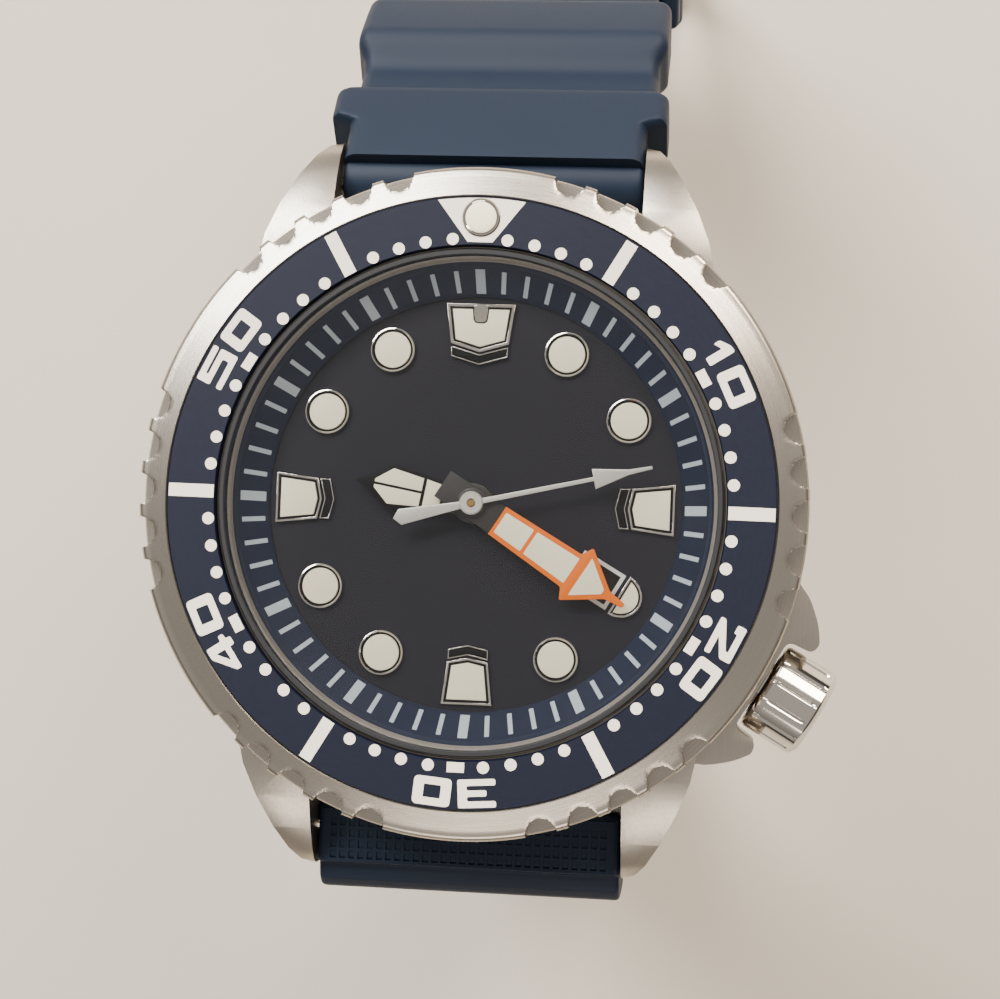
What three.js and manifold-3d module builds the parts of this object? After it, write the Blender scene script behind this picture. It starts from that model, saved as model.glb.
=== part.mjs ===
// A diver's wristwatch: solar quartz movement, turning bezel, crown at 4 o'clock and a two-piece
// rubber strap. Millimetres. The origin is the centre of the case back's outer face, +Z points
// towards the crystal, +Y towards 12 o'clock and +X towards 3 o'clock.
import * as THREE from "three";
import { mergeVertices } from "three/addons/utils/BufferGeometryUtils.js";
import Module from "manifold-3d";

const wasm = await Module();
wasm.setup();

// Driving dimensions
const caseRadius = 20.9; // outer radius of the case body
const caseTop = 8.3; // height of the case's shoulder under the bezel
const lugProjection = 3.3; // from the case's side to a lug's tip, along Y
const lugGap = 20.4; // between the lugs
const lugWide = 4.6; // width of a lug where it leaves the case
const strapThick = 3.6; // strap thickness along its run
const crownRadius = 3.0;
const crownAngle = -30; // degrees from +X: the 4 o'clock position
const crownHeight = 4.3; // height of the crown's axis
const bezelRise = 3.25; // bezel's top above the case's shoulder
const handThick = 0.18;

// Clearances
const slip = 0.05; // between pieces that are fitted together
const runGap = 0.1; // between a turning piece and its neighbour
const strapPlay = 0.15; // each side of the strap between the lugs
const round = 40; // sides of the large round pieces

// Derived sizes: case, bezel and glass
const bezelRadius = caseRadius + 0.6;
const insertOuter = caseRadius - 1.45;
const insertInner = insertOuter - 3.0;
const neckOuter = insertInner + 0.75;
const neckInner = insertInner - 0.25;
const crystalRadius = neckInner - 0.5;
const bore = neckInner - 0.6; // holds movement, dial and rehaut
const backThread = caseRadius - 4.0;
const bezelTop = caseTop + bezelRise;
const insertTop = bezelTop + 0.05;
const neckTop = caseTop + 2.05;
const glassLedge = neckTop - 0.3;
const glassTop = insertTop + 0.08;

// Derived sizes: dial stack, all measured down from the glass ledge
const dialRadius = bore - 0.4;
const dialOpening = bore - 2.0; // visible dial, inside the rehaut
const dialTop = glassLedge - 1.9;
const dialBottom = dialTop - 0.4;
const cellTop = dialBottom - slip;
const cellBottom = cellTop - 0.2;
const datePlane = cellBottom - 0.35; // underside of the date ring
const plateTop = datePlane - 0.75;
const plateBottom = plateTop - 0.6;
const moveRadius = dialRadius - 1.9; // radius of the movement's plate
const k = moveRadius / 13.3; // the movement's layout follows its radius
const hourHandZ = dialTop + 0.62;
const minuteHandZ = hourHandZ + 0.47;
const secondHandZ = minuteHandZ + 0.45;
const pinHeight = secondHandZ + 0.36;

// Derived sizes: lugs and strap
const lugReach = caseRadius + lugProjection;
const barY = lugReach - 2.6;
const barZ = 3.4;
const barRadius = 0.8;
const lugOuter = lugGap / 2 + lugWide;
const lugRoot = caseRadius - 7.4;
const strapWidth = lugGap - 2 * strapPlay;

const group = new THREE.Group();
const paint = {
  steel: [0xb9bcc0, 0.32, 1],
  polished: [0xd0d2d4, 0.12, 1],
  navy: [0x1b3350, 0.45, 0.2],
  lume: [0xe9ead8, 0.6, 0],
  black: [0x17181a, 0.7, 0],
  dialBlue: [0x22262f, 0.85, 0],
  rehautBlue: [0x1f3a5c, 0.5, 0.1],
  orange: [0xe8822a, 0.35, 0.3],
  silver: [0xd9d9d4, 0.25, 1],
  brass: [0xb9964f, 0.35, 1],
  copper: [0xa8623a, 0.4, 0.8],
  plastic: [0xdedbd0, 0.6, 0],
  green: [0x2c5a3c, 0.6, 0],
  violet: [0x2c2230, 0.4, 0],
  strapBlue: [0x22405f, 0.7, 0],
  glass: [0xe8f0f4, 0.05, 0],
};

// Solids ------------------------------------------------------------------------------------

function toSolid(geometry) {
  const plain = geometry.clone();
  plain.deleteAttribute("normal");
  plain.deleteAttribute("uv");
  const merged = mergeVertices(plain, 1e-4);
  const corners = [];
  const index = merged.index.array;
  for (let i = 0; i < index.length; i += 3) {
    const [a, b, c] = [index[i], index[i + 1], index[i + 2]];
    if (a !== b && b !== c && a !== c) corners.push(a, b, c);
  }
  const made = new wasm.Manifold(
    new wasm.Mesh({
      numProp: 3,
      vertProperties: new Float32Array(merged.attributes.position.array),
      triVerts: new Uint32Array(corners),
    }),
  );
  if (made.volume() < 0) throw new Error("a solid is inside out");
  return made;
}

function area(points) {
  return THREE.ShapeUtils.area(points.map(([x, y]) => new THREE.Vector2(x, y)));
}

// A turned solid about Z from a closed profile of [radius, height] corners.
function turned(profile, segments = round) {
  const ordered = area(profile) > 0 ? profile : [...profile].reverse();
  const points = [...ordered, ordered[0]].map(([r, h]) => new THREE.Vector2(r, h));
  const geometry = new THREE.LatheGeometry(points, segments);
  geometry.rotateX(Math.PI / 2);
  return toSolid(geometry);
}

// A straight-sided solid from an outline in X and Y, between two heights.
function slab(outline, low, high, holes = []) {
  const shape = new THREE.Shape(outline.map(([x, y]) => new THREE.Vector2(x, y)));
  for (const hole of holes) {
    shape.holes.push(new THREE.Path(hole.map(([x, y]) => new THREE.Vector2(x, y))));
  }
  const geometry = new THREE.ExtrudeGeometry(shape, {
    depth: high - low,
    bevelEnabled: false,
    steps: 1,
  });
  geometry.translate(0, 0, low);
  return toSolid(geometry);
}

// The same from a profile in Y and Z, between two X positions.
function sideSlab(outline, low, high) {
  const shape = new THREE.Shape(outline.map(([y, z]) => new THREE.Vector2(y, z)));
  const geometry = new THREE.ExtrudeGeometry(shape, {
    depth: high - low,
    bevelEnabled: false,
    steps: 1,
  });
  geometry.translate(0, 0, low);
  geometry.rotateY(Math.PI / 2);
  geometry.rotateX(Math.PI / 2);
  return toSolid(geometry);
}

function circle(radius, segments, x = 0, y = 0, turn = 0) {
  const points = [];
  for (let i = 0; i < segments; i++) {
    const a = turn + (2 * Math.PI * i) / segments;
    points.push([x + radius * Math.cos(a), y + radius * Math.sin(a)]);
  }
  return points;
}

function disc(radius, low, high, segments = 24, x = 0, y = 0) {
  return slab(circle(radius, segments, x, y), low, high);
}

function tube(outer, inner, low, high, segments = 24, x = 0, y = 0) {
  return slab(circle(outer, segments, x, y), low, high, [circle(inner, segments, x, y)]);
}

function box(x0, x1, y0, y1, z0, z1) {
  const geometry = new THREE.BoxGeometry(x1 - x0, y1 - y0, z1 - z0);
  geometry.translate((x0 + x1) / 2, (y0 + y1) / 2, (z0 + z1) / 2);
  return toSolid(geometry);
}

// A solid moved by turns about X, Y and Z in degrees, then by a shift.
function placed(solid, turn, shift = [0, 0, 0]) {
  return solid.rotate(turn).translate(shift);
}

// A bar along X made along Z first.
function barAlongX(radius, x0, x1, y, z, segments = 12) {
  return placed(disc(radius, x0, x1, segments), [0, 90, 0], [0, y, z]);
}

// Crown pieces are turned about Z first, then laid along the crown's axis.
function onCrownAxis(solid) {
  return placed(solid, [0, 90, 0]).rotate([0, 0, crownAngle]).translate([0, 0, crownHeight]);
}

function clockwise(solid, degrees) {
  return solid.rotate([0, 0, -degrees]);
}

function add(name, solid, [color, roughness, metalness]) {
  const mesh = solid.getMesh();
  const count = mesh.numProp;
  const positions = new Float32Array(mesh.numVert * 3);
  for (let i = 0; i < mesh.numVert; i++) {
    positions.set(mesh.vertProperties.subarray(i * count, i * count + 3), i * 3);
  }
  const geometry = new THREE.BufferGeometry();
  geometry.setAttribute("position", new THREE.BufferAttribute(positions, 3));
  geometry.setIndex(new THREE.BufferAttribute(mesh.triVerts, 1));
  geometry.computeVertexNormals();
  const material = new THREE.MeshStandardMaterial({ color, roughness, metalness });
  const made = new THREE.Mesh(geometry, material);
  made.name = name;
  group.add(made);
}

// A gear's outline. Teeth are narrower than the gaps they turn in, so a pair runs free.
function gearOutline(teeth, module, turn = 0, x = 0, y = 0) {
  const pitch = (teeth * module) / 2;
  const step = (2 * Math.PI) / teeth;
  const points = [];
  for (let i = 0; i < teeth; i++) {
    const a = turn + i * step;
    const corners = [
      [pitch - 1.2 * module, -0.5],
      [pitch + 0.75 * module, -0.04],
      [pitch + 0.75 * module, 0.04],
    ];
    for (const [r, share] of corners) {
      const at = a + share * step;
      points.push([x + r * Math.cos(at), y + r * Math.sin(at)]);
    }
  }
  return points;
}

function gear(teeth, module, low, high, turn, x, y, holeRadius = 0) {
  const holes = holeRadius ? [circle(holeRadius, 12, x, y)] : [];
  return slab(gearOutline(teeth, module, turn, x, y), low, high, holes);
}

// Case ----------------------------------------------------------------------------------------

const caseBottom = 0.4;
let caseMiddle = turned([
  [0, caseBottom],
  [caseRadius - 2.1, caseBottom],
  [caseRadius, 3.0],
  [caseRadius, caseTop - 0.3],
  [caseRadius - 0.3, caseTop],
  [neckOuter, caseTop],
  [neckOuter, neckTop],
  [0, neckTop],
]);
// The hollow inside: gasket seat, thread, movement bore and glass seat.
const hollow = turned([
  [0, -1],
  [backThread + 1.5, -1],
  [backThread + 1.5, 1.3],
  [backThread + 0.1, 1.3],
  [backThread + 0.1, 2.4],
  [bore, 2.4],
  [bore, glassLedge],
  [neckInner, glassLedge],
  [neckInner, neckTop + 1],
  [0, neckTop + 1],
]);

const lugProfile = [
  [lugRoot, caseTop],
  [lugReach - 5.7, caseTop - 0.6],
  [lugReach - 2.2, caseTop - 1.9],
  [lugReach - 0.4, caseTop - 3.3],
  [lugReach, caseTop - 4.2],
  [lugReach, 2.2],
  [lugReach - 1.0, 1.3],
  [lugRoot, 1.3],
];
const lugSide = [
  [lugOuter + 0.5, lugRoot],
  [lugOuter - 0.25, lugReach - 6.8],
  [lugOuter - 1.05, lugReach - 4.7],
  [lugOuter - 2.15, lugReach - 2.5],
  [lugOuter - 3.0, lugReach - 1.1],
  [lugOuter - 3.7, lugReach - 0.35],
  [lugOuter - 4.4, lugReach],
];
const lugPlan = [...lugSide, ...lugSide.map(([x, y]) => [-x, y]).reverse()];
const gapStart = caseRadius - 1.9;
function lugPair(side) {
  let lugs = sideSlab(lugProfile, -lugOuter - 1, lugOuter + 1).intersect(
    slab(lugPlan, 0, caseTop + 1),
  );
  lugs = lugs.subtract(box(-lugGap / 2, lugGap / 2, gapStart, lugReach + 1, -1, caseTop + 1));
  return side > 0 ? lugs : lugs.rotate([0, 0, 180]);
}
const guardReach = caseRadius + 2.8;
const guardPlan = [
  [17, -7.8],
  [caseRadius + 0.3, -7.2],
  [caseRadius + 2.3, -5.6],
  [guardReach, -4.4],
  [guardReach, -crownRadius - 0.35],
  [caseRadius + 0.8, -crownRadius - 0.2],
  [caseRadius + 0.8, crownRadius + 0.2],
  [guardReach, crownRadius + 0.35],
  [guardReach, 4.4],
  [caseRadius + 2.3, 5.6],
  [caseRadius + 0.3, 7.2],
  [17, 7.8],
];
const guards = slab(guardPlan, crownHeight - 2.2, crownHeight + 2.8).rotate([0, 0, crownAngle]);
caseMiddle = caseMiddle.add(lugPair(1)).add(lugPair(-1));
caseMiddle = caseMiddle.add(guards).subtract(hollow);
const tubeRadius = 1.65;
caseMiddle = caseMiddle.subtract(
  onCrownAxis(disc(tubeRadius + slip, bore - 1, caseRadius + 5, 16)),
);
for (const side of [1, -1]) {
  const hole = barAlongX(0.45, -lugGap / 2 - 1.1, lugGap / 2 + 1.1, side * barY, barZ, 12);
  caseMiddle = caseMiddle.subtract(hole);
  const clear = box(
    -lugGap / 2, lugGap / 2, side > 0 ? gapStart : -lugReach - 1,
    side > 0 ? lugReach + 1 : -gapStart, -1, caseTop - 1.2,
  );
  caseMiddle = caseMiddle.subtract(clear);
}
add("case_middle", caseMiddle, paint.steel);

add("case_back", turned([
  [0, 0],
  [backThread + 0.9, 0],
  [backThread + 1.3, 0.35],
  [backThread + 1.3, 1.0],
  [backThread, 1.0],
  [backThread, 2.2],
  [backThread - 1.1, 2.2],
  [backThread - 1.1, 1.4],
  [0, 1.4],
]), paint.steel);
add("case_back_gasket", tube(backThread + 1.2, backThread + 0.3, 1.03, 1.26, round), paint.black);

// The tube is pressed through the case wall and the crown runs over it.
add("crown_tube", onCrownAxis(tube(tubeRadius, 0.8, bore + 0.5, caseRadius + 2.2, 16)), paint.steel);

// Glass, gaskets and rehaut --------------------------------------------------------------------

add("crystal", turned([
  [0, glassLedge + slip],
  [crystalRadius, glassLedge + slip],
  [crystalRadius, glassTop - 0.25],
  [crystalRadius - 0.3, glassTop],
  [0, glassTop],
]), paint.glass);
add("crystal_gasket", tube(neckInner - slip, crystalRadius + slip, glassLedge + 0.04,
  glassTop - 0.25, round), paint.black);
add("rehaut_ring", turned([
  [dialOpening, dialTop + slip],
  [bore - slip * 2, dialTop + slip],
  [bore - slip * 2, glassLedge - slip],
  [bore - 0.45, glassLedge - slip],
  [dialOpening, dialTop + 0.3],
]), paint.rehautBlue);

// Dial -------------------------------------------------------------------------------------------

const windowAngle = 120; // clockwise from 12: the 4 o'clock position
const windowRadius = 9.25 * k;
const windowLong = 2.7 * k;
const windowWide = 2.1 * k;
function dateWindow(grow, low, high) {
  const half = windowWide / 2 + grow;
  const window = box(
    -half, half, windowRadius - windowLong / 2 - grow, windowRadius + windowLong / 2 + grow,
    low, high,
  );
  return clockwise(window, windowAngle);
}
const handHole = 1.35;
add("dial", tube(dialRadius, handHole, dialBottom, dialTop, round)
  .subtract(dateWindow(0, dialBottom - 1, dialTop + 1)), paint.dialBlue);
add("solar_cell", tube(moveRadius - 0.1, handHole, cellBottom, cellTop, 32)
  .subtract(dateWindow(0.2, cellBottom - 1, cellTop + 1)), paint.violet);

const markerRadius = 11.4 * k;
const markerLow = dialTop + 0.02;
const markerHigh = dialTop + 0.32;
for (const hour of [1, 2, 5, 7, 8, 10, 11]) {
  const name = "marker_" + String(hour).padStart(2, "0");
  const dot = disc(1.45, markerLow, markerHigh, 14).translate([0, markerRadius, 0]);
  add(name, clockwise(dot, hour * 30), paint.lume);
}
const halfDot = disc(1.4, markerLow, markerHigh, 16)
  .intersect(box(-2, 2, 0, 2, markerLow - 1, markerHigh + 1))
  .translate([0, windowRadius + windowLong / 2 + 0.6, 0]);
add("marker_04", clockwise(halfDot, 120), paint.lume);
const pentagon = [
  [-1.6, markerRadius + 1.6],
  [-1.2, markerRadius - 1.1],
  [0, markerRadius - 1.9],
  [1.2, markerRadius - 1.1],
  [1.6, markerRadius + 1.6],
];
for (const hour of [3, 6, 9]) {
  const solid = slab([...pentagon].reverse(), markerLow, markerHigh);
  add("marker_0" + hour, clockwise(solid, hour * 30), paint.lume);
}
const shield = [
  [-2.3, markerRadius + 1.6],
  [-1.95, markerRadius - 1.0],
  [0, markerRadius - 2.3],
  [1.95, markerRadius - 1.0],
  [2.3, markerRadius + 1.6],
];
add("marker_12", slab([...shield].reverse(), markerLow, markerHigh), paint.lume);

// Hands, each turned clockwise from 12. They show about 9:20:13. -------------------------------------

const hourAngle = 280;
const minuteAngle = 122;
const secondAngle = 77;
const hourTube = 0.95;
const hourHand = slab([
  [-0.9, -0.9],
  [0.9, -0.9],
  [0.8, 2.2],
  [1.4, 5.0],
  [0.25, 6.6],
  [0.1, 7.8],
  [-0.1, 7.8],
  [-0.25, 6.6],
  [-1.4, 5.0],
  [-0.8, 2.2],
], hourHandZ, hourHandZ + handThick).add(disc(1.3, hourHandZ, hourHandZ + handThick, 16));
add("hour_hand", clockwise(
  hourHand.subtract(disc(hourTube + 0.04, 0, 20, 12)), hourAngle,
), paint.lume);
const minuteTube = 0.52;
const minuteHand = slab([
  [-0.9, -2.3],
  [0.9, -2.3],
  [1.0, 0],
  [1.25, 6.8],
  [1.95, 7.6],
  [0.2, 10.4],
  [0.1, 11.75],
  [-0.1, 11.75],
  [-0.2, 10.4],
  [-1.95, 7.6],
  [-1.25, 6.8],
  [-1.0, 0],
], minuteHandZ, minuteHandZ + handThick);
add("minute_hand", clockwise(
  minuteHand.subtract(disc(minuteTube + 0.02, 0, 20, 12)), minuteAngle,
), paint.orange);
const secondPin = 0.2;
const secondHand = slab([
  [-0.5, -4.6],
  [0, -5.1],
  [0.5, -4.6],
  [0.14, 0],
  [0.1, 8.0],
  [0.65, 8.0],
  [0.08, 10.2],
  [0.05, 11.8],
  [-0.05, 11.8],
  [-0.08, 10.2],
  [-0.65, 8.0],
  [-0.1, 8.0],
  [-0.14, 0],
], secondHandZ, secondHandZ + handThick).add(disc(0.75, secondHandZ, secondHandZ + 0.3, 16));
add("second_hand", clockwise(
  secondHand.subtract(disc(secondPin + 0.02, 0, 20, 8)), secondAngle,
), paint.silver);

// Gear train: rotor to fifth, second, third and centre wheels, then minute and hour wheels -------------

const modRotor = 0.12 * k;
const modFifth = 0.232 * k;
const modThird = 0.16 * k;
const modCentre = (25.5 * modThird) / 27;
const modMotion = 0.168 * k;
const rotorAway = 21 * modRotor;
const fifthAway = 18 * modFifth;
const thirdAway = 25.5 * modThird;
const minuteAway = 20 * modMotion;
const thirdDir = (100 * Math.PI) / 180;
const fifthDir = 0;
const rotorDir = (40 * Math.PI) / 180;
const minuteDir = (190 * Math.PI) / 180;
const thirdAt = [thirdAway * Math.cos(thirdDir), thirdAway * Math.sin(thirdDir)];
const fifthAt = [fifthAway, 0];
const rotorAt = [
  fifthAway + rotorAway * Math.cos(rotorDir),
  rotorAway * Math.sin(rotorDir),
];
const minuteAt = [minuteAway * Math.cos(minuteDir), minuteAway * Math.sin(minuteDir)];

// Turns that put a tooth of the driver in a gap of the driven wheel.
const meshTurn = (teeth, direction) => direction + Math.PI + Math.PI / teeth;
const pivot = 0.2;
const arbor = 0.3;
const bridgeTop = plateBottom - 2.55;
const bridgeLow = bridgeTop - 0.4;
const arborLow = bridgeLow + 0.05;
const arborHigh = plateBottom + 0.4;
function arborAt(x, y, low, high) {
  return disc(pivot, arborLow, arborHigh, 8, x, y).add(disc(arbor, low, high, 10, x, y));
}
const level = (up) => plateBottom - 2.4 + up; // heights above the bridge's top

add("rotor", arborAt(...rotorAt, level(0), level(2.2))
  .add(gear(6, modRotor, level(0.05), level(0.4), meshTurn(6, rotorDir), ...rotorAt))
  .add(disc(0.75, level(0.75), level(1.3), 12, ...rotorAt)), paint.steel);
add("fifth_wheel", arborAt(...fifthAt, level(0), level(2.2))
  .add(gear(36, modRotor, level(0.15), level(0.3), rotorDir, ...fifthAt))
  .add(gear(6, modFifth, level(0.55), level(0.95), meshTurn(6, fifthDir), ...fifthAt)),
paint.brass);
add("second_wheel", disc(secondPin, arborLow, pinHeight, 8)
  .add(disc(arbor, level(0), level(1.6), 10))
  .add(gear(30, modFifth, level(0.65), level(0.8), fifthDir, 0, 0))
  .add(gear(6, modThird, level(1.15), level(1.5), thirdDir, 0, 0)), paint.brass);
add("third_wheel", arborAt(...thirdAt, level(0), level(2.2))
  .add(gear(45, modThird, level(1.25), level(1.4), meshTurn(45, thirdDir), ...thirdAt))
  .add(gear(6, modCentre, level(1.75), level(2.1), meshTurn(6, thirdDir), ...thirdAt)),
paint.brass);
add("centre_wheel", disc(minuteTube, level(1.85), minuteHandZ + 0.3, 12)
  .add(gear(48, modCentre, level(1.85), level(2.0), thirdDir, 0, 0))
  .add(gear(10, modMotion, plateTop + 0.05, plateTop + 0.35, minuteDir, 0, 0))
  .subtract(disc(0.32, 0, 20, 10)), paint.brass);
add("minute_wheel", gear(30, modMotion, plateTop + 0.1, plateTop + 0.25,
  meshTurn(30, minuteDir), ...minuteAt)
  .add(gear(8, modMotion, plateTop + 0.2, plateTop + 0.7, meshTurn(8, minuteDir), ...minuteAt))
  .subtract(disc(0.32, 0, 20, 10, ...minuteAt)), paint.brass);
add("hour_wheel", disc(hourTube, plateTop + 0.45, hourHandZ + 0.3, 12)
  .add(gear(32, modMotion, plateTop + 0.45, plateTop + 0.6, minuteDir, 0, 0))
  .subtract(disc(minuteTube + 0.1, 0, 20, 12)), paint.brass);

// Movement -----------------------------------------------------------------------------------------------

const moveBottom = 1.75;
const stemHole = onCrownAxis(disc(0.9, 5, 30, 12));
add("movement_spacer", tube(bore - 0.2, moveRadius + 0.1, moveBottom, cellTop - 0.02, 32)
  .subtract(stemHole), paint.plastic);
let mainPlate = turned([
  [0, plateBottom],
  [moveRadius, plateBottom],
  [moveRadius, datePlane - 0.05],
  [moveRadius - 1.8, datePlane - 0.05],
  [moveRadius - 1.8, plateTop],
  [0, plateTop],
], 32);
mainPlate = mainPlate.subtract(disc(minuteTube + 0.12, 0, 20, 12));
for (const at of [thirdAt, fifthAt, rotorAt]) {
  mainPlate = mainPlate.subtract(disc(pivot + 0.08, 0, plateBottom + 0.45, 8, ...at));
}
mainPlate = mainPlate.add(disc(0.24, plateTop - 0.1, plateTop + 0.75, 8, ...minuteAt));
add("main_plate", mainPlate, paint.brass);

const pillars = [[-4.7, 0.4], [2.6, -4.3], [1.2, 9.0]].map(([x, y]) => [x * k, y * k]);
const bridgePlan = [
  [-6.3, 0.2], [2.6, -6.2], [6.4, -2.4], [8.0, 2.4], [2.6, 10.4], [-0.2, 10.4],
].map(([x, y]) => [x * k, y * k]);
let bridge = slab(bridgePlan, bridgeLow, bridgeTop);
for (const [x, y] of pillars) {
  bridge = bridge.add(disc(0.55, bridgeTop - 0.1, plateBottom - 0.03, 10, x, y));
}
for (const at of [[0, 0], thirdAt, fifthAt, rotorAt]) {
  bridge = bridge.subtract(disc(pivot + 0.08, 0, bridgeTop + 0.1, 8, ...at));
}
add("train_bridge", bridge, paint.steel);

const cellAt = [-6.0 * k, -6.0 * k];
add("power_cell", disc(4.7 * k, moveBottom + 0.2, moveBottom + 2.1, 32, ...cellAt), paint.polished);

const lower = Math.min(bridgeLow - 0.15, 2.35);
add("circuit_block", slab([
  [0.5, -12.2], [5.2, -10.8], [8.4, -8.2], [7.2, -5.2], [4.4, -6.0], [0.9, -7.6],
].map(([x, y]) => [x * k, y * k]), lower - 0.35, lower)
  .add(box(2.2 * k, 5.0 * k, -9.8 * k, -7.4 * k, lower - 0.05, lower + 0.75)), paint.green);

// The stator lies along a tangent at the rotor and the coil's core is a neighbour outboard of it.
const statorTurn = 130;
const stator = slab([
  [-3.2, -1.5], [3.4, -1.5], [3.4, 1.5], [-3.2, 1.5],
], level(0.78), level(1.12), [circle(1.0, 16)])
  .rotate([0, 0, statorTurn])
  .translate([...rotorAt, 0]);
add("stator", stator, paint.steel);
const coilOut = 3.9 * k;
const coil = placed(disc(1.15, -3.6, 3.6, 14), [0, 90, 0])
  .add(box(-4.3, 4.3, -0.8, 0.8, -0.15, 0.15))
  .rotate([0, 0, statorTurn])
  .translate([
    rotorAt[0] + coilOut * Math.cos(rotorDir),
    rotorAt[1] + coilOut * Math.sin(rotorDir),
    level(1.15),
  ]);
add("coil", coil, paint.copper);

add("date_ring", tube(moveRadius - 1.9, moveRadius - 5.3, datePlane, datePlane + 0.22, 31),
  paint.plastic);
const jumper = slab([
  [-0.35, 3.4], [0.35, 3.4], [0.25, 7.6], [-0.25, 7.6],
].map(([x, y]) => [x, y * k]), plateTop + 0.05, plateTop + 0.3);
add("date_jumper", clockwise(jumper, 320), paint.steel);

// Winding parts and crown ----------------------------------------------------------------------------------

const crownStart = caseRadius + 1.1;
const crownEnd = caseRadius + 5.1;
const cavityEnd = caseRadius + 3.5;
const stemInner = 9.6 * k;
let crownBody = turned([
  [0, cavityEnd],
  [2.15, cavityEnd],
  [2.15, crownStart],
  [crownRadius - 0.35, crownStart],
  [crownRadius, crownStart + 0.35],
  [crownRadius, crownEnd - 0.5],
  [crownRadius - 0.5, crownEnd],
  [0, crownEnd],
], 24);
for (let i = 0; i < 12; i++) {
  const a = (2 * Math.PI * i) / 12;
  const flute = box(-0.3, 0.3, -0.25, 0.25, crownStart + 0.8, crownEnd - 0.75)
    .rotate([0, 0, 45])
    .translate([crownRadius + 0.12, 0, 0])
    .rotate([0, 0, (a * 180) / Math.PI]);
  crownBody = crownBody.subtract(flute);
}
add("crown", onCrownAxis(crownBody), paint.polished);
add("crown_gasket", onCrownAxis(tube(2.12, tubeRadius + 0.03, crownStart + 0.2, crownStart + 0.9, 16)),
  paint.black);
add("winding_stem", onCrownAxis(disc(0.55, stemInner, cavityEnd - 0.03, 12)), paint.steel);
add("clutch", onCrownAxis(tube(0.95, 0.58, stemInner + 0.9, stemInner + 2.1, 12)), paint.steel);
const leverZ = crownHeight - 1.45;
const leverAt = [stemInner + 0.4, -2.6];
const lever = slab([
  [-0.6, -0.6], [0.6, -0.6], [0.55, 2.9], [-0.55, 2.9],
], leverZ, leverZ + 0.22)
  .subtract(disc(0.3, 0, 20, 8, 0, 0))
  .translate([...leverAt, 0])
  .rotate([0, 0, crownAngle]);
add("setting_lever", lever, paint.steel);

// Bezel --------------------------------------------------------------------------------------------------------

const bezelLow = caseTop + 0.25;
const bezelFloor = insertTop - 0.78;
let bezel = turned([
  [neckOuter + 0.55, bezelLow],
  [bezelRadius, bezelLow],
  [bezelRadius, bezelTop - 0.85],
  [bezelRadius - 0.45, bezelTop - 0.45],
  [insertOuter + slip, bezelTop],
  [insertOuter + slip, bezelFloor],
  [insertInner - 0.05, bezelFloor],
  [insertInner - 0.05, neckTop + runGap],
  [neckOuter + 0.55, neckTop + runGap],
], 64);
for (const hour of [1, 3, 5, 7, 9, 11]) {
  for (const place of [-2, -1, 0, 1, 2]) {
    const notch = disc(0.95, bezelLow + 0.65, bezelTop + 1, 9)
      .translate([0, bezelRadius - 0.15, 0]);
    bezel = bezel.subtract(clockwise(notch, hour * 30 + place * 7.5));
  }
}
add("bezel_ring", bezel, paint.steel);
const pipRadius = 1.2;
const pipAway = insertOuter - pipRadius - 0.15;
add("bezel_insert", tube(insertOuter, insertInner, bezelFloor + 0.03, insertTop, 48)
  .subtract(disc(pipRadius + slip, 0, 20, 20, 0, pipAway)), paint.navy);
add("bezel_pip", disc(pipRadius, bezelFloor + 0.03, insertTop + 0.1, 20, 0, pipAway), paint.lume);
add("bezel_gasket", tube(neckOuter + 0.4, neckOuter + 0.04, caseTop + 0.95, caseTop + 1.4, round),
  paint.black);
const springArc = [];
for (let i = 0; i <= 6; i++) springArc.push([neckOuter + 2.1, 150 + i * 8]);
for (let i = 6; i >= 0; i--) springArc.push([neckOuter + 1.2, 150 + i * 8]);
add("bezel_click_spring", slab(springArc.map(([r, a]) => {
  const turn = (a * Math.PI) / 180;
  return [r * Math.cos(turn), r * Math.sin(turn)];
}), caseTop + 0.03, caseTop + 0.17), paint.steel);

// Strap ----------------------------------------------------------------------------------------------------------

// A path of unit steps whose direction turns by a rule of its length: [y, z, direction] points.
function pathOf(startY, startZ, length, step, directionAt) {
  const points = [];
  let [y, z] = [startY, startZ];
  for (let s = 0; s <= length + 1e-6; s += step) {
    const turn = (directionAt(s) * Math.PI) / 180;
    points.push([y, z, turn, s]);
    y += step * Math.cos(turn);
    z += step * Math.sin(turn);
  }
  return points;
}

// Side profile: an outer and an inner line offset from the path.
function bandProfile(path, outerAt, innerAt) {
  const outer = path.map(([y, z, turn, s]) => {
    const off = outerAt(s);
    return [y - off * Math.sin(turn), z + off * Math.cos(turn)];
  });
  const inner = path.map(([y, z, turn, s]) => {
    const off = innerAt(s);
    return [y + off * Math.sin(turn), z - off * Math.cos(turn)];
  });
  return [...outer, ...inner.reverse()];
}

const half = strapThick / 2;
const ridgeRise = 0.9; // the accordion ridges over the strap's plain face
// The thick root between the lugs, then a groove, a second ridge and a shallow step down.
const ridgeSteps = [
  [0, ridgeRise], [6.5, ridgeRise], [8.5, -0.7], [11, -0.7],
  [14, ridgeRise], [18.5, ridgeRise], [21.5, -0.3], [25, 0], [500, 0],
];
function ridgeLift(s) {
  const next = ridgeSteps.findIndex(([at]) => at > s);
  const [s0, low] = ridgeSteps[next - 1];
  const [s1, high] = ridgeSteps[next];
  return low + ((high - low) * (s - s0)) / (s1 - s0);
}
const eye = 1.9; // radius of the strap's end around its spring bar

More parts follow.
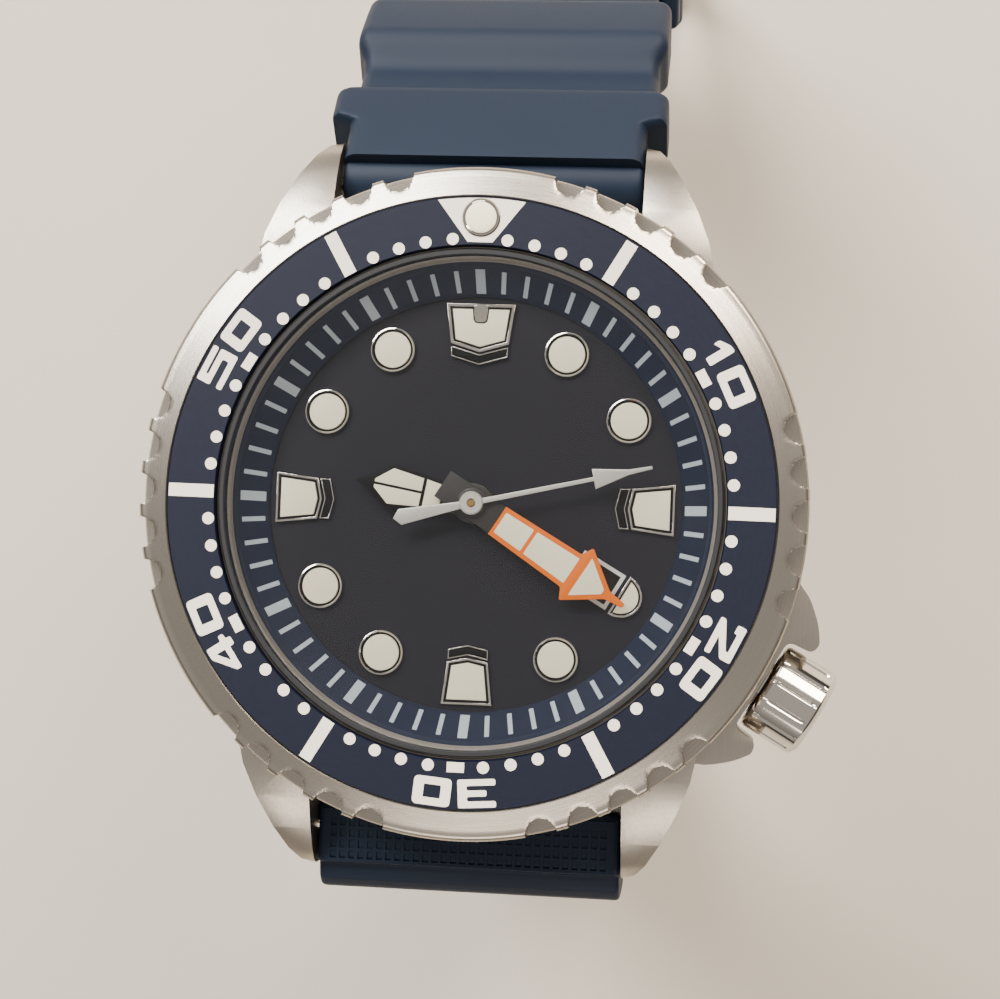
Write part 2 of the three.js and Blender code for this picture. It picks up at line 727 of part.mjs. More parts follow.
// Short half: leaves the 12 o'clock lugs at a slope and steepens to a straight run.
const shortBend = 38;
const shortLength = 64;
const shortStart = -35;
const shortEnd = -74;
const shortPath = pathOf(barY, barZ, shortLength, 1, (s) =>
  s < shortBend ? shortStart + ((shortEnd - shortStart) * s) / shortBend : shortEnd,
);
function widthAt(s) {
  const ear = s > 4.5 && s < 7 ? 1.4 : s > 13 && s < 19 ? 1.0 : 0;
  const taper = THREE.MathUtils.clamp((s - 22) / 12, 0, 1) * 1.2;
  return strapWidth / 2 + ear - taper;
}
// Width plan of a half, from [place, half width] stations along one axis.
function widthPlan(stations, sign) {
  const right = stations.map(([at, w]) => [w, sign * at]);
  const left = [...stations].reverse().map(([at, w]) => [-w, sign * at]);
  const outline = [...right, ...left];
  return area(outline) > 0 ? outline : outline.reverse();
}
const shortStations = shortPath
  .filter(([, , , s]) => s % 4 < 1e-6 || s < 24)
  .map(([y, , , s]) => [y, widthAt(s)]);
shortStations[0][0] -= 3;
let strapShort = sideSlab(
  bandProfile(shortPath, (s) => half + ridgeLift(s), (s) => half * Math.min(1, 0.7 + s / 60)),
  -strapWidth,
  strapWidth,
);
strapShort = strapShort.add(barAlongX(eye, -strapWidth, strapWidth, barY, barZ, 16));
const tipOf = (path) => path[path.length - 1];
const [shortTipY, shortTipZ, shortTurn] = tipOf(shortPath);
strapShort = strapShort.add(
  barAlongX(eye, -strapWidth, strapWidth, shortTipY, shortTipZ, 16),
);
shortStations[shortStations.length - 1][0] += 3;
const shortPlan = slab(widthPlan(shortStations, 1), -120, 20);
strapShort = strapShort.intersect(shortPlan);
strapShort = strapShort.subtract(barAlongX(barRadius + 0.1, -30, 30, barY, barZ, 12));
strapShort = strapShort.subtract(barAlongX(0.85, -30, 30, shortTipY, shortTipZ, 12));
// A frame along the short half's straight run: origin at the buckle bar, X' along the strap.
function onShortTip(solid) {
  return placed(solid, [(shortTurn * 180) / Math.PI, 0, 0], [0, shortTipY, shortTipZ]);
}
strapShort = strapShort.subtract(onShortTip(box(-1.7, 1.7, -6, 4, -4, 4)));
add("strap_short", strapShort, paint.strapBlue);

// Keepers: loops round the straight run, one moulded in place and one that slides.
const tipHalf = widthAt(shortLength);
function keeper(along, wide, gap) {
  const outer = box(-tipHalf - 1.9, tipHalf + 1.9, along - wide / 2, along + wide / 2, -half - 1.9, half + 5.2);
  const inner = box(
    -tipHalf - gap, tipHalf + gap, along - wide, along + wide, -half - gap - 0.15, half + 3.9,
  );
  return onShortTip(outer.subtract(inner));
}
add("keeper_fixed", keeper(-10.5, 4, 0.2), paint.strapBlue);
add("keeper_free", keeper(-18, 5, 0.3), paint.strapBlue);

// Buckle: a frame and a tongue on a bar through the strap's end.
const frameHalf = tipHalf + 2.6;
add("buckle_bar", onShortTip(barAlongX(0.75, -frameHalf + 0.2, frameHalf - 0.2, 0, 0, 12)), paint.steel);
const buckleReach = 13.4; // from the bar to the frame's far side
const frameOuter = [
  [-frameHalf, -1.6],
  [frameHalf, -1.6],
  [frameHalf, buckleReach - 1.9],
  [frameHalf - 1.5, buckleReach],
  [-frameHalf + 1.5, buckleReach],
  [-frameHalf, buckleReach - 1.9],
];
const frameInner = [
  [-frameHalf + 2.1, 2.6],
  [frameHalf - 2.1, 2.6],
  [frameHalf - 2.1, buckleReach - 2.6],
  [-frameHalf + 2.1, buckleReach - 2.6],
];
let buckle = slab(frameOuter, -1.1, 1.1, [frameInner]);
buckle = buckle.subtract(box(-tipHalf - 0.25, tipHalf + 0.25, -4, 3.0, -3, 3));
buckle = buckle.subtract(barAlongX(0.8, -frameHalf + 0.1, frameHalf - 0.1, 0, 0, 12));
buckle = buckle.subtract(box(-1.35, 1.35, buckleReach - 4, buckleReach + 1, 0.45, 2));
add("buckle_frame", onShortTip(buckle), paint.steel);
const tongue = box(-1.1, 1.1, -0.3, buckleReach - 0.3, 0.55, 1.45)
  .add(barAlongX(1.45, -1.1, 1.1, 0, 0, 14))
  .subtract(barAlongX(0.8, -3, 3, 0, 0, 12));
add("buckle_tongue", onShortTip(tongue), paint.steel);

// Long half: drops from the 6 o'clock lugs and curls under the case to lie on the table.
const curlLength = 34;
const footLength = 36;
const floorZ = shortTipZ + buckleReach * Math.sin(shortTurn) - 1.1 * Math.cos(shortTurn);
function longPathFor(drop) {
  return pathOf(-barY, barZ, drop + curlLength + footLength, 1, (s) => {
    if (s < drop) return -92;
    if (s < drop + curlLength) return -92 + (92 * (s - drop)) / curlLength;
    return 0;
  });
}
const trialDrop = 36;
const dropLength = trialDrop + tipOf(longPathFor(trialDrop))[1] - half - floorZ;
const longPath = longPathFor(dropLength);
let strapLong = sideSlab(
  bandProfile(longPath, (s) => half * Math.min(1, 0.7 + s / 60), (s) => half + ridgeLift(s)),
  -strapWidth,
  strapWidth,
);
strapLong = strapLong.add(barAlongX(eye, -strapWidth, strapWidth, -barY, barZ, 16));
const [longTipY, longTipZ] = tipOf(longPath);
const longStations = longPath
  .filter(([, , , s]) => s <= dropLength && (s % 4 < 1e-6 || s < 24))
  .map(([, z, , s]) => [-z, widthAt(s)]);
longStations[0][0] -= 3;
longStations.push([-longTipZ - 10, strapWidth / 2 - 0.7]);
longStations.push([-longTipZ + 6, strapWidth / 2 - 1]);
const longPlan = slab(widthPlan(longStations, 1), -60, 100).rotate([-90, 0, 0]);
strapLong = strapLong.intersect(longPlan);
const tipRound = slab(circle(strapWidth / 2 + 0.2, 32, 0, longTipY - strapWidth / 2), -120, 20)
  .add(box(-20, 20, -80, longTipY - strapWidth / 2, -120, 20));
strapLong = strapLong.intersect(tipRound);
for (let i = 0; i < 6; i++) {
  const y = longTipY - 9 - i * 5.5;
  strapLong = strapLong.subtract(disc(1.2, floorZ - 2, floorZ + strapThick + 2, 10, 0, y));
}
strapLong = strapLong.subtract(barAlongX(barRadius + 0.1, -30, 30, -barY, barZ, 12));
add("strap_long", strapLong, paint.strapBlue);

for (const [name, side] of [["spring_bar_12", 1], ["spring_bar_06", -1]]) {
  const bar = barAlongX(barRadius, -lugGap / 2 + 0.25, lugGap / 2 - 0.25, side * barY, barZ, 12)
    .add(barAlongX(0.4, -lugGap / 2 - 0.9, lugGap / 2 + 0.9, side * barY, barZ, 10));
  add(name, bar, paint.steel);
}

export default group;
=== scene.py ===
"""A diver's wristwatch, dressed around its CAD frame. Lengths in the tables are millimetres."""

import bpy
import bmesh
import math
from mathutils import Matrix, Vector


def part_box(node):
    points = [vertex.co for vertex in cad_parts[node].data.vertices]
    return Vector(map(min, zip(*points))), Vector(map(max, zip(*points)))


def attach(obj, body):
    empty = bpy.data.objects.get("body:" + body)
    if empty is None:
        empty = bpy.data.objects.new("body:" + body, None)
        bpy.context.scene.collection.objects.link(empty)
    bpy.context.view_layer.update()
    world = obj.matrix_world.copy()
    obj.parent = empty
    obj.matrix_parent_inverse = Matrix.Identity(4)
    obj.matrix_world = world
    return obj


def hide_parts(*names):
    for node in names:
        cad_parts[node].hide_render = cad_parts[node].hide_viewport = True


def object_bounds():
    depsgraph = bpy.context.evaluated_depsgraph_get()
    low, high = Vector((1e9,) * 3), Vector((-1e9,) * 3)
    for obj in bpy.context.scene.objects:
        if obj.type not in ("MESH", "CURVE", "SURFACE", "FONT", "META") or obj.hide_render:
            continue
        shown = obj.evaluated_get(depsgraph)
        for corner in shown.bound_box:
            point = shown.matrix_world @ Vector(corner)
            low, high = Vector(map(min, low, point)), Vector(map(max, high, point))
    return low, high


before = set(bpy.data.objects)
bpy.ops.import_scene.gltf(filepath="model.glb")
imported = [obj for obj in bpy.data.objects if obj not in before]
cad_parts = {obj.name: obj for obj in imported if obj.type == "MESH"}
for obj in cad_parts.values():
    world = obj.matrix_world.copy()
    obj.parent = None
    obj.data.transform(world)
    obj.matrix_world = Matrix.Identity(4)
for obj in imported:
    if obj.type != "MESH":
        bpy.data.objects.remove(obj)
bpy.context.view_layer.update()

MM = 0.001
TAU = 2 * math.pi
BEZEL_TURN = 0.47  # degrees the bezel has been left turned past 12


def hi(node):
    """Highest corner of a CAD node, in millimetres."""
    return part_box(node)[1] / MM


def lo(node):
    """Lowest corner of a CAD node, in millimetres."""
    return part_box(node)[0] / MM


# Sizes taken from the frame
INSERT_R = hi("bezel_insert").x
INSERT_TOP = hi("bezel_insert").z
BEZEL_R = hi("bezel_ring").x
BEZEL_LOW = lo("bezel_ring").z
GLASS_R = hi("crystal").x
GLASS_TOP = hi("crystal").z
GLASS_LOW = lo("crystal").z
DIAL_TOP = hi("dial").z
DIAL_LOW = lo("dial").z
DIAL_R = hi("dial").x
REHAUT_R = hi("rehaut_ring").x
REHAUT_TOP = hi("rehaut_ring").z
CASE_R = -lo("case_middle").x
LUG_Y = hi("case_middle").y
CASE_TOP = BEZEL_LOW - 0.25
BAR_Y = (hi("spring_bar_12").y + lo("spring_bar_12").y) / 2
BAR_Z = (hi("spring_bar_12").z + lo("spring_bar_12").z) / 2
HOUR_Z = lo("hour_hand").z
MINUTE_Z = lo("minute_hand").z
SECOND_Z = lo("second_hand").z
INSERT_IN = INSERT_R - 3.15
DIAL_OPEN = 13.45
MARKER_R = 11.36

# Hands as they stand, in degrees clockwise from 12
HOUR_AT = 280
MINUTE_AT = 122
SECOND_AT = 77


# Materials ---------------------------------------------------------------


class Wire:
    """An output socket of a node tree. Sums on it add Math nodes."""

    def __init__(self, tree, socket=None):
        self.tree = tree
        self.socket = socket

    def node(self, kind, settings=None, inputs=None, output=0):
        """A new node of a type, with its settings made first, then its sockets filled."""
        made = self.tree.nodes.new(kind)
        for key, value in (settings or {}).items():
            setattr(made, key, value)
        for key, value in (inputs or {}).items():
            if isinstance(value, Wire):
                self.tree.links.new(value.socket, made.inputs[key])
            else:
                made.inputs[key].default_value = value
        return Wire(self.tree, made.outputs[output])

    def sum(self, operation, *others):
        inputs = {0: self}
        for place, other in enumerate(others, 1):
            inputs[place] = other
        return self.node("ShaderNodeMath", {"operation": operation}, inputs)

    def __add__(self, other):
        return self.sum("ADD", other)

    __radd__ = __add__

    def __mul__(self, other):
        return self.sum("MULTIPLY", other)

    __rmul__ = __mul__

    def __sub__(self, other):
        return self.sum("SUBTRACT", other)

    def __rsub__(self, other):
        return self.node("ShaderNodeMath", {"operation": "SUBTRACT"}, {0: other, 1: self})

    def __truediv__(self, other):
        return self.sum("DIVIDE", other)

    def __pow__(self, other):
        return self.sum("POWER", other)


def linear(red, green, blue):
    """A linear colour from the 0 to 255 values a paint chart gives."""

    def one(value):
        share = value / 255
        return share / 12.92 if share <= 0.04045 else ((share + 0.055) / 1.055) ** 2.4

    return (one(red), one(green), one(blue), 1.0)


def noise(start, place, scale, detail=3.0, rough=0.55):
    return start.node(
        "ShaderNodeTexNoise",
        inputs={"Vector": place, "Scale": scale, "Detail": detail, "Roughness": rough},
    )


def stretched(start, place, sizes):
    """Object coordinates scaled along each axis, so a pattern runs in lines."""
    return start.node("ShaderNodeMapping", inputs={"Vector": place, "Scale": sizes})


def around(start, place):
    """Radius, angle and height about Z, for turned finishes."""
    split = start.tree.nodes.new("ShaderNodeSeparateXYZ")
    start.tree.links.new(place.socket, split.inputs[0])
    x, y, z = (Wire(start.tree, socket) for socket in split.outputs)
    radius = (x * x + y * y) ** 0.5
    angle = y.sum("ARCTAN2", x)
    return radius, angle, z


def finish(name, tones, rough, metal=0.0, grain=None, bump=0.0, **constants):
    """A material of two tones mixed by a pattern that also drives roughness and bump.

    grain is a function of (wire, object place) that gives the pattern from 0 to 1."""
    made = bpy.data.materials.new(name)
    made.use_nodes = True
    tree = made.node_tree
    shader = tree.nodes["Principled BSDF"]
    start = Wire(tree)
    place = start.node("ShaderNodeTexCoord", output="Object")
    pattern = (grain or (lambda w, p: noise(w, p, 900.0)))(start, place)
    mixed = start.node(
        "ShaderNodeMix",
        {"data_type": "RGBA"},
        {"Factor": pattern, 6: tones[0], 7: tones[-1]},
        output=2,
    )
    tree.links.new(mixed.socket, shader.inputs["Base Color"])
    roughness = pattern * (rough[1] - rough[0]) + rough[0]
    tree.links.new(roughness.socket, shader.inputs["Roughness"])
    shader.inputs["Metallic"].default_value = metal
    if bump:
        relief = start.node(
            "ShaderNodeBump",
            inputs={"Height": pattern, "Strength": bump, "Distance": 0.00004},
            output="Normal",
        )
        tree.links.new(relief.socket, shader.inputs["Normal"])
    for key, value in constants.items():
        shader.inputs[key.replace("_", " ")].default_value = value
    return made


def line_grain(sizes):
    return lambda w, p: noise(w, stretched(w, p, sizes), 1.0, 4.0, 0.65)


def turned_grain(fine=26000.0, along=3.0):
    """Fine rings about the dial's axis, as a lathe or a turning brush leaves."""

    def pattern(w, p):
        radius, angle, height = around(w, p)
        lines = w.node(
            "ShaderNodeCombineXYZ",
            inputs={0: radius * fine, 1: angle * along, 2: height * fine},
        )
        return noise(w, lines, 1.0, 3.0, 0.6)

    return pattern


def sunray_grain(w, p):
    """Brushing that runs outwards from the dial's axis."""
    radius, angle, height = around(w, p)
    lines = w.node(
        "ShaderNodeCombineXYZ",
        inputs={0: radius * 260.0, 1: angle * 210.0, 2: height * 260.0},
    )
    return noise(w, lines, 1.0, 4.0, 0.7)


STEEL = (linear(192, 184, 173), linear(162, 155, 145))
steel_turned = finish("steel_turned", STEEL, (0.2, 0.36), 1.0, turned_grain(), 0.12)
steel_brushed = finish(
    "steel_brushed", STEEL, (0.24, 0.42), 1.0, line_grain((9000, 500, 9000)), 0.2
)
steel_polished = finish(
    "steel_polished",
    (linear(222, 217, 209), linear(206, 201, 193)),
    (0.06, 0.12),
    1.0,
    lambda w, p: noise(w, p, 400.0, 2.0),
)
steel_plain = finish("steel_plain", STEEL, (0.28, 0.4), 1.0, line_grain((600, 9000, 9000)), 0.1)
navy_insert = finish(
    "navy_insert",
    (linear(12, 17, 35), linear(15, 21, 41)),
    (0.34, 0.44),
    0.2,
    turned_grain(9000.0, 40.0),
    0.03,
    Coat_Weight=0.1,
    Coat_Roughness=0.3,
)
pale_paint = finish(
    "pale_paint",
    (linear(252, 243, 228), linear(243, 232, 214)),
    (0.5, 0.62),
    0.0,
    lambda w, p: noise(w, p, 5200.0, 4.0),
    0.15,
)
# Cream lume fill with a slight painted glow: its emission lifts the lume's brightness beyond what
# the lamps give it.
lume_fill = finish(
    "lume_fill",
    (linear(255, 250, 222), linear(252, 244, 210)),
    (0.45, 0.6),
    0.0,
    lambda w, p: noise(w, p, 4800.0, 5.0),
    0.2,
    Emission_Color=(1.0, 0.9, 0.66, 1.0),
    Emission_Strength=0.1,
)
tick_paint = finish(
    "tick_paint", (linear(206, 218, 226), linear(192, 205, 214)), (0.5, 0.6)
)
window_paint = finish(
    "window_paint", (linear(236, 236, 230), linear(224, 224, 218)), (0.45, 0.55)
)
dial_matte = finish(
    "dial_matte",
    (linear(24, 23, 33), linear(26, 25, 35)),
    (0.64, 0.68),
    0.0,
    lambda w, p: noise(w, p, 240.0, 1.0),
    Specular_IOR_Level=0.25,
)
rehaut_blue = finish(
    "rehaut_blue",
    (linear(20, 31, 56), linear(25, 37, 64)),
    (0.36, 0.46),
    0.1,
    turned_grain(7000.0, 30.0),
    0.03,
)
black_trim = finish(
    "black_trim",
    (linear(4, 4, 5), linear(8, 8, 9)),
    (0.35, 0.45),
    Specular_IOR_Level=0.15,
)
seal_black = finish(
    "seal_black",
    (linear(17, 18, 20), linear(28, 29, 32)),
    (0.55, 0.7),
    0.0,
    lambda w, p: noise(w, p, 3000.0),
    0.1,
)
hand_grey = finish(
    "hand_grey", (linear(44, 42, 41), linear(54, 51, 49)), (0.42, 0.55), 0.2
)
# Orange paint of the minute hand, with a slight painted glow from emission that makes it look
# brighter than the lamps light it.
hand_orange = finish(
    "hand_orange",
    (linear(240, 112, 0), linear(232, 104, 0)),
    (0.45, 0.55),
    0.0,
    lambda w, p: noise(w, p, 2500.0),
    Specular_IOR_Level=0.25,
    Emission_Color=(1.0, 0.34, 0.0, 1.0),
    Emission_Strength=0.12,
)
hand_silver = finish(
    "hand_silver",
    (linear(232, 229, 222), linear(216, 212, 204)),
    (0.3, 0.42),
    0.55,
    lambda w, p: noise(w, p, 2600.0),
)
brass = finish(
    "brass", (linear(206, 172, 104), linear(184, 150, 86)), (0.25, 0.4), 1.0, sunray_grain, 0.05
)
copper_wire = finish(
    "copper_wire",
    (linear(186, 104, 62), linear(140, 72, 40)),
    (0.25, 0.45),
    0.9,
    lambda w, p: noise(w, stretched(w, p, (9000, 9000, 9000)), 1.0),
    0.3,
)
pale_plastic = finish(
    "pale_plastic", (linear(224, 221, 210), linear(210, 206, 194)), (0.45, 0.6)
)
board_green = finish(
    "board_green", (linear(32, 84, 52), linear(26, 70, 43)), (0.3, 0.5)
)
cell_violet = finish(
    "cell_violet",
    (linear(38, 26, 44), linear(52, 38, 58)),
    (0.25, 0.35),
    0.0,
    line_grain((200, 3800, 200)),
)


def strap_grain(w, p):
    """The fine satin skin of moulded rubber, with soft wide changes of sheen."""
    fine = noise(w, p, 5200.0, 3.0)
    wide = noise(w, p, 160.0, 2.0)
    return fine * 0.6 + wide * 0.4


strap_rubber = finish(
    "strap_rubber",
    (linear(10, 24, 42), linear(14, 30, 49)),
    (0.5, 0.64),
    0.0,
    strap_grain,
    0.25,
    Specular_IOR_Level=0.26,
)


def glass_finish():
    """Flat mineral glass: clear face on, with more reflection towards its edge."""
    made = bpy.data.materials.new("clear_glass")
    made.use_nodes = True
    tree = made.node_tree
    shader = tree.nodes["Principled BSDF"]
    start = Wire(tree)
    shader.inputs["Base Color"].default_value = (0.93, 0.96, 1.0, 1)
    shader.inputs["Metallic"].default_value = 1.0
    place = start.node("ShaderNodeTexCoord", output="Object")
    wiped = noise(start, place, 90.0, 2.0) * 0.02 + 0.015
    tree.links.new(wiped.socket, shader.inputs["Roughness"])
    gloss = start.node("ShaderNodeFresnel", inputs={"IOR": 1.4})
    clear = gloss * 0.85
    tree.links.new(clear.socket, shader.inputs["Alpha"])
    return made


clear_glass = glass_finish()


# Meshes ------------------------------------------------------------------


def mesh_of(verts, faces):
    made = bpy.data.meshes.new("shape")
    made.from_pydata([Vector(v) * MM for v in verts], [], faces)
    made.validate()
    return made


def lathe(profile, steps=192, change=None):
    """A turned shape about Z from a closed profile of (radius, height)."""
    verts, faces = [], []
    count = len(profile)
    for i in range(steps):
        angle = TAU * i / steps
        for r, z in profile:
            if change:
                r, z = change(r, z, angle)
            verts.append((r * math.cos(angle), r * math.sin(angle), z))
    for i in range(steps):
        j = (i + 1) % steps
        for a in range(count):
            b = (a + 1) % count
            faces.append((i * count + a, j * count + a, j * count + b, i * count + b))
    return tidy(mesh_of(verts, faces))


def tidy(mesh):
    """Merges doubled points, drops slivers and points every face outwards."""
    work = bmesh.new()
    work.from_mesh(mesh)
    bmesh.ops.remove_doubles(work, verts=work.verts, dist=1e-7)
    bmesh.ops.dissolve_degenerate(work, dist=1e-7, edges=work.edges)
    bmesh.ops.recalc_face_normals(work, faces=work.faces)
    work.to_mesh(mesh)
    work.free()
    return mesh


def plate(outlines, low, high, bevel=0.0, steps=2):
    """A flat piece from outlines in X and Y, with holes and softened edges."""
    curve = bpy.data.curves.new("outline", "CURVE")
    curve.dimensions = "2D"
    curve.fill_mode = "BOTH"
    for outline in outlines:
        spline = curve.splines.new("POLY")
        spline.points.add(len(outline) - 1)
        for point, (x, y) in zip(spline.points, outline):
            point.co = (x * MM, y * MM, 0, 1)
        spline.use_cyclic_u = True
    curve.extrude = max((high - low) / 2 - bevel, 1e-5) * MM
    curve.bevel_depth = bevel * MM
    curve.bevel_resolution = steps
    curve.offset = -bevel * MM
    holder = bpy.data.objects.new("outline", curve)
    bpy.context.scene.collection.objects.link(holder)
    bpy.context.view_layer.update()
    made = bpy.data.meshes.new_from_object(
        holder.evaluated_get(bpy.context.evaluated_depsgraph_get())
    )
    bpy.data.objects.remove(holder)
    made.transform(Matrix.Translation((0, 0, (low + high) / 2 * MM)))
    return tidy(made)


def ring(radius, count=64, x=0.0, y=0.0):
    return [
        (x + radius * math.cos(TAU * i / count), y + radius * math.sin(TAU * i / count))
        for i in range(count)
    ]


def inset(outline, distance):
    """The outline moved inwards by a distance, corner by corner."""
    turn = sum(
        (x1 * y2 - x2 * y1) for (x1, y1), (x2, y2) in zip(outline, outline[1:] + outline[:1])
    )
    side = 1 if turn > 0 else -1
    moved = []
    for i, here in enumerate(outline):
        before = Vector(outline[i - 1])
        after = Vector(outline[(i + 1) % len(outline)])
        point = Vector(here)
        d1 = (point - before).normalized()
        d2 = (after - point).normalized()
        n1 = Vector((-d1.y, d1.x)) * side
        n2 = Vector((-d2.y, d2.x)) * side
        middle = (n1 + n2).normalized()
        reach = distance / max(middle.dot(n1), 0.35)
        moved.append(tuple(point + middle * reach))
    return moved


def rounded(outline, radius, steps=4):
    """The outline with each corner cut to an arc of about that radius."""
    made = []
    for i, here in enumerate(outline):
        before = Vector(outline[i - 1])
        after = Vector(outline[(i + 1) % len(outline)])
        point = Vector(here)
        back = before - point
        on = after - point
        reach = min(radius, back.length * 0.45, on.length * 0.45)
        a = point + back.normalized() * reach
        b = point + on.normalized() * reach
        for j in range(steps + 1):
            t = j / steps
            made.append(tuple(a * (1 - t) ** 2 + point * 2 * t * (1 - t) + b * t * t))
    return made


def rectangle(x0, x1, y0, y1):
    return [(x0, y0), (x1, y0), (x1, y1), (x0, y1)]


def clockwise(mesh, degrees):
    mesh.transform(Matrix.Rotation(-math.radians(degrees), 4, "Z"))
    return mesh


def piece(name, parts, body, nodes=(), smooth=35.0):
    """One finished object from (mesh, material) parts. It rides on a body and stands for nodes."""
    work = bmesh.new()
    finishes = []
    for mesh, material in parts:
        if material not in finishes:
            finishes.append(material)
        place = finishes.index(material)
        start = len(work.faces)
        work.from_mesh(mesh)
        work.faces.ensure_lookup_table()
        for face in work.faces[start:]:
            face.material_index = place
            face.smooth = True
    made = bpy.data.meshes.new(name)
    work.to_mesh(made)
    work.free()
    for material in finishes:
        made.materials.append(material)
    made.set_sharp_from_angle(angle=math.radians(smooth))
    thing = bpy.data.objects.new(name, made)
    bpy.context.scene.collection.objects.link(thing)
    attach(thing, body)
    if nodes:
        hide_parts(*nodes)
    return thing


def copies_tree():
    """Geometry Nodes that turn copies of a piece about the dial's axis."""
    tree = bpy.data.node_groups.new("turned_copies", "GeometryNodeTree")
    sockets = tree.interface
    sockets.new_socket("Piece", in_out="INPUT", socket_type="NodeSocketObject")
    sockets.new_socket("Copies", in_out="INPUT", socket_type="NodeSocketInt")
    sockets.new_socket("Leave out every", in_out="INPUT", socket_type="NodeSocketInt")
    sockets.new_socket("Finish", in_out="INPUT", socket_type="NodeSocketMaterial")
    sockets.new_socket("Geometry", in_out="OUTPUT", socket_type="NodeSocketGeometry")
    add = tree.nodes.new
    link = tree.links.new

    def maths(operation, place, value):
        made = add("ShaderNodeMath")
        made.operation = operation
        made.inputs[place].default_value = value
        return made

    entry = add("NodeGroupInput")
    points = add("GeometryNodePoints")
    source = add("GeometryNodeObjectInfo")
    index = add("GeometryNodeInputIndex")
    step = maths("DIVIDE", 0, -TAU)
    turn = maths("MULTIPLY", 0, 0.0)
    left_over = maths("MODULO", 0, 0.0)
    wanted = maths("GREATER_THAN", 1, 0.5)
    angles = add("ShaderNodeCombineXYZ")
    instances = add("GeometryNodeInstanceOnPoints")
    real = add("GeometryNodeRealizeInstances")
    painted = add("GeometryNodeSetMaterial")
    leave = add("NodeGroupOutput")
    for here, there in (
        (entry.outputs["Copies"], points.inputs["Count"]),
        (entry.outputs["Piece"], source.inputs["Object"]),
        (entry.outputs["Copies"], step.inputs[1]),
        (index.outputs[0], turn.inputs[0]),
        (step.outputs[0], turn.inputs[1]),
        (turn.outputs[0], angles.inputs["Z"]),
        (index.outputs[0], left_over.inputs[0]),
        (entry.outputs["Leave out every"], left_over.inputs[1]),
        (left_over.outputs[0], wanted.inputs[0]),
        (points.outputs[0], instances.inputs["Points"]),
        (wanted.outputs[0], instances.inputs["Selection"]),
        (source.outputs["Geometry"], instances.inputs["Instance"]),
        (angles.outputs[0], instances.inputs["Rotation"]),
        (instances.outputs[0], real.inputs[0]),
        (real.outputs[0], painted.inputs["Geometry"]),
        (entry.outputs["Finish"], painted.inputs["Material"]),
        (painted.outputs[0], leave.inputs[0]),
    ):
        link(here, there)
    return tree


COPIES = copies_tree()


def turned_copies(mesh, copies, material, leave_out_every=0):
    """A plain mesh of copies turned evenly about the dial's axis, clockwise, without the first."""
    source = bpy.data.objects.new("source", mesh)
    holder = bpy.data.objects.new("holder", bpy.data.meshes.new("holder"))
    for thing in (source, holder):
        bpy.context.scene.collection.objects.link(thing)
    modifier = holder.modifiers.new("copies", "NODES")
    modifier.node_group = COPIES
    values = {
        "Piece": source,
        "Copies": copies,
        "Leave out every": leave_out_every or copies + 1,
        "Finish": material,
    }
    for item in COPIES.interface.items_tree:
        if item.in_out == "INPUT":
            modifier[item.identifier] = values[item.name]
    bpy.context.view_layer.update()
    made = bpy.data.meshes.new_from_object(
        holder.evaluated_get(bpy.context.evaluated_depsgraph_get())
    )
    for thing in (source, holder):
        bpy.data.objects.remove(thing)
    return made


# Camera and light --------------------------------------------------------


def set_camera():
    """A hand-held view from above, a little towards 3 o'clock, from about 139 mm away."""
    roll, nod, lean = -0.03834, -0.03298, -0.10521
    seen_at = Vector((-2.0355, -0.1579, -139.102))  # the insert's centre, from the lens
    turn = (
        Matrix.Rotation(roll, 3, "Z")
        @ Matrix.Rotation(nod, 3, "X")
        @ Matrix.Rotation(lean, 3, "Y")
    )
    back = turn.transposed()
    place = back @ -seen_at + Vector((0, 0, INSERT_TOP))
    data = bpy.data.cameras.new("camera")
    data.lens = 79.2
    data.sensor_width = 36.0
    data.clip_start = 0.005
    data.clip_end = 20.0
    camera = bpy.data.objects.new("camera", data)
    camera.matrix_world = Matrix.Translation(place * MM) @ back.to_4x4()
    bpy.context.scene.collection.objects.link(camera)
    bpy.context.scene.camera = camera


def soft_light(name, place, target, size, power, colour):
    data = bpy.data.lights.new(name, "AREA")
    data.shape = "RECTANGLE"
    data.size, data.size_y = size
    data.energy = power
    data.color = colour
    light = bpy.data.objects.new(name, data)
    light.location = place
    light.rotation_euler = (Vector(target) - Vector(place)).to_track_quat("-Z", "Y").to_euler()
    bpy.context.scene.collection.objects.link(light)


